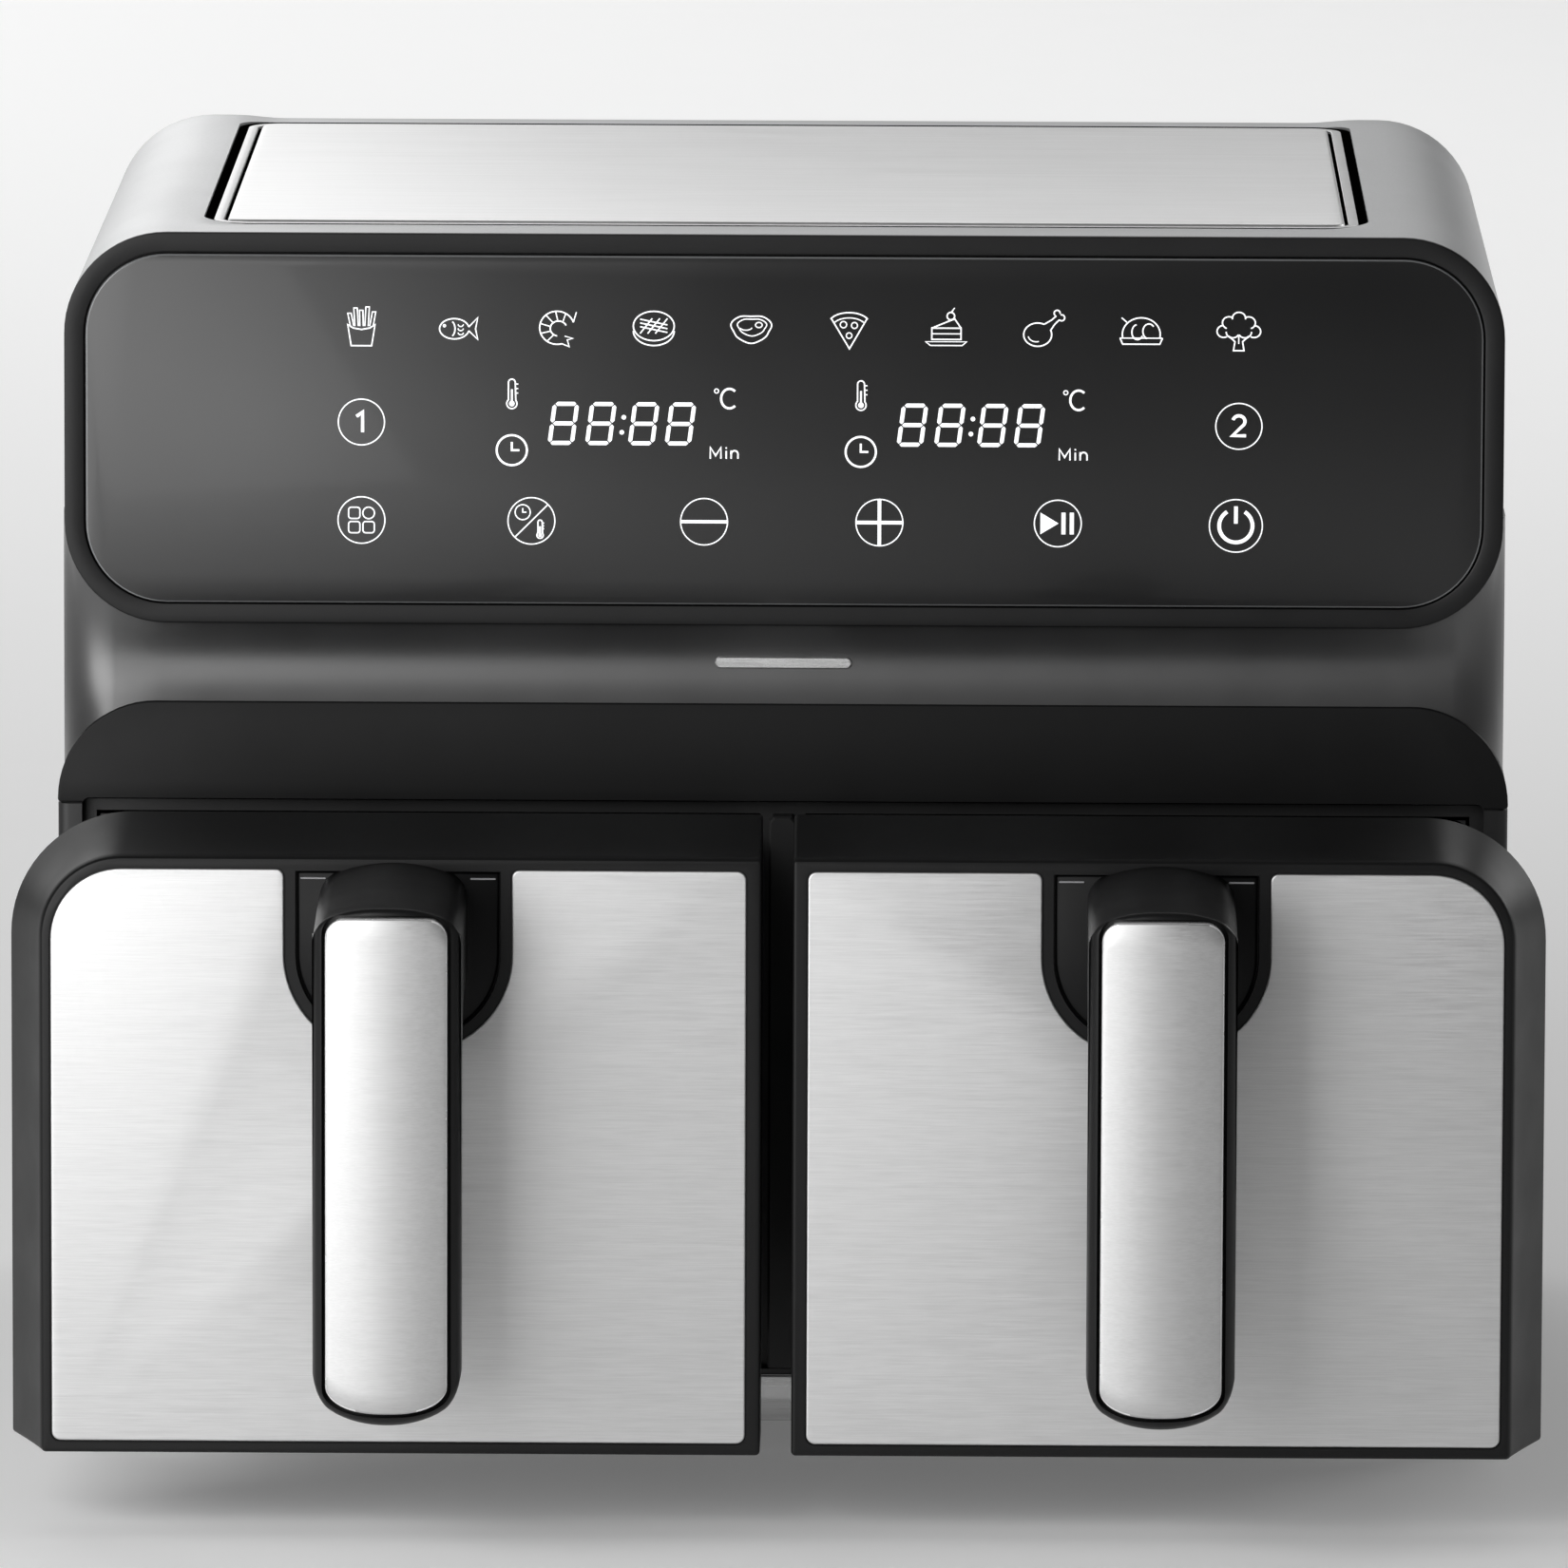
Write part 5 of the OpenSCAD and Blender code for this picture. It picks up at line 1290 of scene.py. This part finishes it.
def handle():
    x_half = (HANDLE[1] - HANDLE[0]) / 2
    front, root = HANDLE[2], HANDLE[3]
    low, high = HANDLE[4], CAP[5] + 2.9
    back, under = front + 18, 138.0
    crest = HANDLE[5] - 0.3
    side = (arc(front + 4.0, low + 4.0, 4.0, 180, 270, 6) + arc(back - 5.0, low + 5.0, 5.0, 270, 360, 6)
            + arc(back + 14, under - 14, 14, 180, 90, 10) + [(root, under), (root, crest)]
            + [(back + 12, crest - 1.3), (back + 3, crest - 2.0), (back - 2, crest - 2.6)]
            + [(front + 8, crest - 3.2)]
            + arc(front + 2.0, high - 2.2, 1.9, 84, 180, 6))
    round_r = 4.2
    xs = [(-x_half + round_r * (1 - math.cos(math.radians(t))), round_r * (1 - math.sin(math.radians(t))))
          for t in (0, 14, 28, 42, 56, 70, 80)]
    flat = [-x_half + round_r + (2 * (x_half - round_r)) * k / 16 for k in range(17)]
    columns = xs + [(x, 0.0) for x in flat] + [(-x, by) for x, by in reversed(xs)]
    rings = []
    for x, by in columns:
        s = x / x_half
        ring = []
        for (y, z), (y_full, z_full) in zip(inset(side, by), side):
            if y_full > root - 0.01:
                y, z = root, z_full + (z - z_full)
            share = max(0.0, min(1.0, (back - y) / 18))
            y += share * x * x / (2 * 62)
            lower = ease((68 - z) / 34)
            z += lower * 10.5 * (1 - math.sqrt(1 - min(0.985, s * s)))
            z -= ease((z - 146) / 18) * (5.2 * abs(s) ** 2.6 if y < front + 26 else 4.6 * s * s)
            ring.append((HANDLE_X + x, y, z))
        rings.append(ring)
    grip = to_object(Shape().rings(rings), "handle_grip", black_grip)
    pocket = cap_shape(0.9, front - 6, 3.4, False)
    cut(grip, pocket)
    both_sides(settle(grip, 38), "black_plastic", "drawer", "handle")

    cap = settle(to_object(cap_shape(0.0, front, 4.0, True), "handle_cap_steel", cap_steel), 50)
    # Faces near the cap's front that do not face straight forward (its edge bevel) take the painted highlight
    # finish
    cap.data.materials.append(polished_edge)
    for face in cap.data.polygons:
        near_front = face.center.y < row_point(0, front + 3.6, 0).y
        face.material_index = 1 if near_front and face.normal.y > -0.9 else 0
    both_sides(cap, "brushed_steel", "drawer", "handle_cap")

    _, _, _, y1, z0, z1 = span("right_handle_screws")
    source = screw_source(4, 2.4, 1.9, 13)
    for vert in source.data.vertices:
        vert.co.y, vert.co.x = -vert.co.y, -vert.co.x
    spots = [(HANDLE_X, y1 - 3, z) for z in (z0 + 4, z1 - 4)]
    screws = grow(SET_OUT, "handle_fixings", spots, Piece=source, Axis=(0.0, 1.0, 0.0), Seed=5,
                  Material=screw_zinc, **{"Most Turn": 1.2})
    bpy.data.objects.remove(source)
    both_sides(screws, "screw_steel", "drawer", "handle_screws")


def cap_shape(by, front, deep, bowed):
    """The steel cap of a grip, or the pocket it lies in when it is drawn larger"""
    x_half = (CAP[1] - CAP[0]) / 2 + by
    low, high = CAP[4] - by, CAP[5] + by
    edge = 0.55 if bowed else 0.0
    count = 15
    steps = [-1 + 2 * (0.5 - 0.5 * math.cos(math.pi * k / (2 * count))) for k in range(2 * count + 1)]
    rings = []
    for s in steps:
        x = s * x_half
        lower = 7.0 * (1 - math.sqrt(max(0.0, 1 - abs(s) ** 2.6)))
        corner = 4.8
        past = max(0.0, abs(x) - (x_half - corner)) / corner
        upper = corner * (1 - math.sqrt(max(0.0, 1 - past * past))) + 0.5 * s * s
        z0, z1 = low + lower, high - upper
        bow = x * x / (2 * 62) if bowed or by else 0.0
        f = front + bow
        b = CAP[2] + deep + x * x / 124
        beyond = max(0.0, abs(x) - (x_half - edge)) / max(edge, 1e-6)
        lift = edge * (1 - math.sqrt(max(0.0, 1 - beyond ** 2)))
        f += lift
        ring = [(b, z0), (f + edge, z0), (f + edge * 0.3, z0 + edge * 0.3), (f, z0 + edge)]
        inner = 24
        ring += [(f, z0 + edge + (z1 - z0 - 2 * edge) * k / inner) for k in range(1, inner)]
        ring += [(f, z1 - edge), (f + edge * 0.3, z1 - edge * 0.3), (f + edge, z1), (b, z1)]
        rings.append([(HANDLE_X + x, y, z) for y, z in ring])
    return Shape().rings(rings)


def pan():
    x0, x1, y0, y1, z0, z1 = PAN
    loop = round_loop(x0 + 2.5, x1 - 2.5, y0, y1 - 2.5, [14.2, 14.2, 15, 15], 10)
    rings = []

    def ring(by, z):
        rings.append([(u, max(v, y0 + 0.02), z) for u, v in inset(loop, by)])
    for t in (0, 15, 30, 45, 60, 75, 90):
        c, s = math.cos(math.radians(t)), math.sin(math.radians(t))
        ring(14 * (1 - s), z0 + 14 * (1 - c))
    for by, down in ((0, 2.2), (-0.5, 1.6), (-2.2, 1.5), (-2.5, 1.1), (-2.5, 0.5), (-2.1, 0.05), (-1.6, 0),
                     (0.6, 0), (1.2, 0.3), (1.5, 1.0)):
        ring(by, z1 - down)
    for t in (90, 75, 60, 45, 30, 15, 0):
        c, s = math.cos(math.radians(t)), math.sin(math.radians(t))
        ring(1.5 + 12.5 * (1 - s), z0 + 1.5 + 12.5 * (1 - c))
    tub = to_object(Shape().rings(rings), "drawer_pan", nonstick)
    both_sides(settle(tub, 40), "nonstick", "drawer", "pan")


def crisper_tray():
    x0, x1, y0, y1, z0, z1 = TRAY
    loop = round_loop(x0, x1, y0, y1, [10] * 4, 8)
    step_x, step_y = (x1 - x0 - 22) / 7, (y1 - y0 - 22) / 9
    middle = tuple(row_point((x0 + x1) / 2, (y0 + y1) / 2, z0 + 0.75))
    sheet = grow(PERFORATED, "tray_sheet", Width=(x1 - x0 - 19) * MM, Depth=(y1 - y0 - 19) * MM,
                 Thickness=1.5 * MM, Columns=7, Rows=9, Material=nonstick, Centre=middle,
                 **{"Pitch X": step_x * MM, "Pitch Y": step_y * MM, "Hole Radius": 4 * MM})
    rim = Shape().hoop(loop, [(9.6, z0), (2.2, z0), (0.7, z0 + 0.6), (0, z0 + 2.4), (0, z1 - 0.7),
                              (0.25, z1 - 0.2), (0.75, z1), (1.2, z1 - 0.2), (1.5, z1 - 0.7), (1.5, z0 + 2.9),
                              (1.9, z0 + 1.9), (2.8, z0 + 1.5), (9.6, z0 + 1.5)], facing_up)
    ribs = Shape()
    for k in (2, 5):
        x = x0 + 11 + k * step_x
        ribs.block(x - 0.9, x + 0.9, y0 + 6, y1 - 6, z0 - 2.6, z0 + 0.1, 0.7)
    rim_piece, rib_piece = to_object(rim, "rim", nonstick), to_object(ribs, "ribs", nonstick)
    tray = merge("crisper", nonstick, sheet, settle(rim_piece, 40), settle(rib_piece, 40), angle=40)
    both_sides(tray, "nonstick", "tray", "crisper_tray")

    bx0, bx1, by0, by1, bz0, bz1 = span("right_tray_bumpers")
    plug = Shape().lathe(0, 0, [(2.6, 0), (4.0, 0.5), (4.5, 1.6), (4.5, 8), (3.4, 9.4), (3.4, bz1 - bz0)], 24)
    source = at_own_origin(to_object(plug, "bumper_source", silicone), 0, 0, 0)
    spots = [(x, y, bz0) for x in (bx0 + 4.5, bx1 - 4.5) for y in (by0 + 4.5, by1 - 4.5)]
    bumpers = grow(SET_OUT, "tray_corner_bumpers", spots, Piece=source, Axis=(0.0, 0.0, 1.0), Seed=2,
                   Material=silicone, **{"Most Turn": 0.4})
    bpy.data.objects.remove(source)
    both_sides(bumpers, "silicone", "tray", "tray_bumpers")


# ---- Heating and air -----------------------------------------------------------------------------

def heating():
    level = sum(span("right_heating_element")[4:]) / 2
    centre = [(FAN_X, FAN_Y, level)]
    coil = grow(COIL, "coil", centre, 60, Turns=3.0, Material=element_steel,
                **{"Inner Radius": 40 * MM, "Outer Radius": 64 * MM, "Tube Radius": 3.1 * MM})
    bars = Shape()
    for x in (-12, 12):
        bars.lathe(FAN_X + x, level, [(2.8, FAN_Y + 61), (2.8, FAN_Y + 92)], 16, "Y")
    for a in (30, 150, 270):
        c, s = math.cos(math.radians(a)), math.sin(math.radians(a))
        corners = [(FAN_X + out * c - aside * s, FAN_Y + out * s + aside * c)
                   for out, aside in ((36, 1.6), (36, -1.6), (68, -1.6), (68, 1.6))]
        bars.slab(corners, [(0, level - 4.2), (0, level - 3.1)], facing_up)
    piece = merge("element_coil", element_steel, coil, to_object(bars, "bars", element_steel), angle=50)
    both_sides(piece, "element_steel", "housing", "heating_element")

    x0, x1, _, _, z0, z1 = span("right_element_guard")
    radius = (x1 - x0) / 2 - 1.1
    rings = grow(GUARD, "rings", [(FAN_X, FAN_Y, z0 + 1.2)], 60, Rings=5, Spokes=6, Material=guard_wire,
                 Radius=radius * MM, **{"Wire Radius": 1.15 * MM})
    legs = Shape()
    for a in (0, 120, 240):
        legs.lathe(FAN_X + radius * math.cos(math.radians(a)), FAN_Y + radius * math.sin(math.radians(a)),
                   [(1.05, z0 + 1), (1.05, z1)], 12)
    piece = merge("wire_element_guard", guard_wire, rings, to_object(legs, "legs", guard_wire), angle=50)
    both_sides(piece, "shaft_steel", "housing", "element_guard")

    for node_name, name, mat, slot, blades, sweep, twist in (
            ("hot_air_fan", "hot_air_wheel", fan_sheet, "fan_aluminium", 16, 9.0, 0.0),
            ("cooling_fan", "cooling_wheel", white_plastic, "sensor_white", 9, 5.0, 4.0)):
        x0, x1, _, _, z0, z1 = span("right_" + node_name)
        radius = (x1 - x0) / 2 - 0.6
        vanes = grow(WHEEL, "vanes", [(FAN_X, FAN_Y, z0 + 0.02)], 40, Blades=blades, Material=mat,
                     Height=(z1 - z0 - 0.1) * MM, Sweep=sweep * MM, Twist=twist * MM,
                     **{"Inner Radius": 7 * MM, "Outer Radius": (radius - sweep * 0.08 - 0.6) * MM,
                        "Blade Thickness": 1.0 * MM})
        disc_r, disc_z = (radius, z1 - 1.2) if node_name == "hot_air_fan" else (20, z0)
        sleeve = [(3.0, z0), (7.4, z0), (8, z0 + 0.6), (8, z1 - 0.6), (7.4, z1), (3.0, z1)]
        disc = [(7.5, disc_z), (disc_r, disc_z), (disc_r, disc_z + 1.2), (7.5, disc_z + 1.2)]
        hub = Shape()
        for profile in (sleeve, disc):
            hub.lathe(FAN_X, FAN_Y, profile, 48, closed=True)
        wheel = merge(name, mat, vanes, to_object(hub, "hub", mat), angle=40)
        both_sides(wheel, slot, "fan", node_name)


def inner_finishes():
    """Materials of the CAD nodes that are shown as they are"""
    chosen = {"control_board": circuit_green, "power_board": circuit_green, "motor_deck": zinc_sheet}
    for side in ("left_", "right_"):
        chosen.update({side + "cavity": liner_sheet, side + "motor": motor_sheet,
                       side + "fan_shaft": shaft_steel, side + "temperature_sensor": white_plastic,
                       side + "drawer_sensor": white_plastic, side + "drawer_magnet": magnet_nickel})
    for name, mat in chosen.items():
        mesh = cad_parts[name].data
        mesh.materials.clear()
        mesh.materials.append(mat)


# ---- Camera, floor and light --------------------------------------------------------------------

def camera():
    data = bpy.data.cameras.new("view")
    data.sensor_width, data.lens = 36.0, 381.4
    data.clip_start, data.clip_end = 0.1, 60
    made = bpy.data.objects.new("view", data)
    bpy.context.scene.collection.objects.link(made)
    made.location = (0.0460, -4.4090, 0.8442)
    pitch, yaw, roll = 0.1519, -0.0105, 0.0036
    look = Vector((math.sin(yaw) * math.cos(pitch), math.cos(yaw) * math.cos(pitch), -math.sin(pitch)))
    made.rotation_mode = "QUATERNION"
    made.rotation_quaternion = look.to_track_quat("-Z", "Y")
    made.rotation_quaternion = Quaternion(-look, roll) @ made.rotation_quaternion
    bpy.context.scene.camera = made


def lamp(name, place, target, size, power):
    data = bpy.data.lights.new(name, "AREA")
    data.shape, data.size, data.size_y = "RECTANGLE", size[0], size[1]
    data.energy = power
    made = bpy.data.objects.new(name, data)
    bpy.context.scene.collection.objects.link(made)
    made.location = place
    made.rotation_mode = "QUATERNION"
    made.rotation_quaternion = (Vector(target) - Vector(place)).to_track_quat("-Z", "Y")


def studio():
    mesh = bpy.data.meshes.new("floor")
    mesh.from_pydata([(-14, -8, 0), (14, -8, 0), (14, 16, 0), (-14, 16, 0)], [], [(0, 1, 2, 3)])
    mesh.materials.append(floor_white)
    floor = bpy.data.objects.new("floor", mesh)
    bpy.context.scene.collection.objects.link(floor)
    world = bpy.data.worlds.new("studio")
    world.use_nodes = True
    world.node_tree.nodes["Background"].inputs["Color"].default_value = (1, 1, 1, 1)
    world.node_tree.nodes["Background"].inputs["Strength"].default_value = 0.13
    bpy.context.scene.world = world
    lamp("key", (-0.76, -1.05, 0.55), (-0.14, -0.05, 0.55), (1.15, 1.1), 16)
    lamp("overhead", (-0.3, 3.1, 2.2), (-0.3, 3.1, 0), (3.4, 3.4), 42)
    lamp("back", (-1.9, 4.6, 1.5), (-0.2, 0.2, 0.4), (3.4, 2.2), 34)
    lamp("side", (2.4, 2.2, 1.3), (0.2, 0.1, 0.3), (1.4, 1.4), 15)
    bpy.context.scene.view_settings.view_transform = "Standard"


camera()
studio()
top_shell()
top_fittings()
front_housing()
control_glass()
badge()
control_symbols()
lower_body()
base_pan()
rear_cover()
drawer_front()
face_panel()
handle()
pan()
crisper_tray()
heating()
inner_finishes()
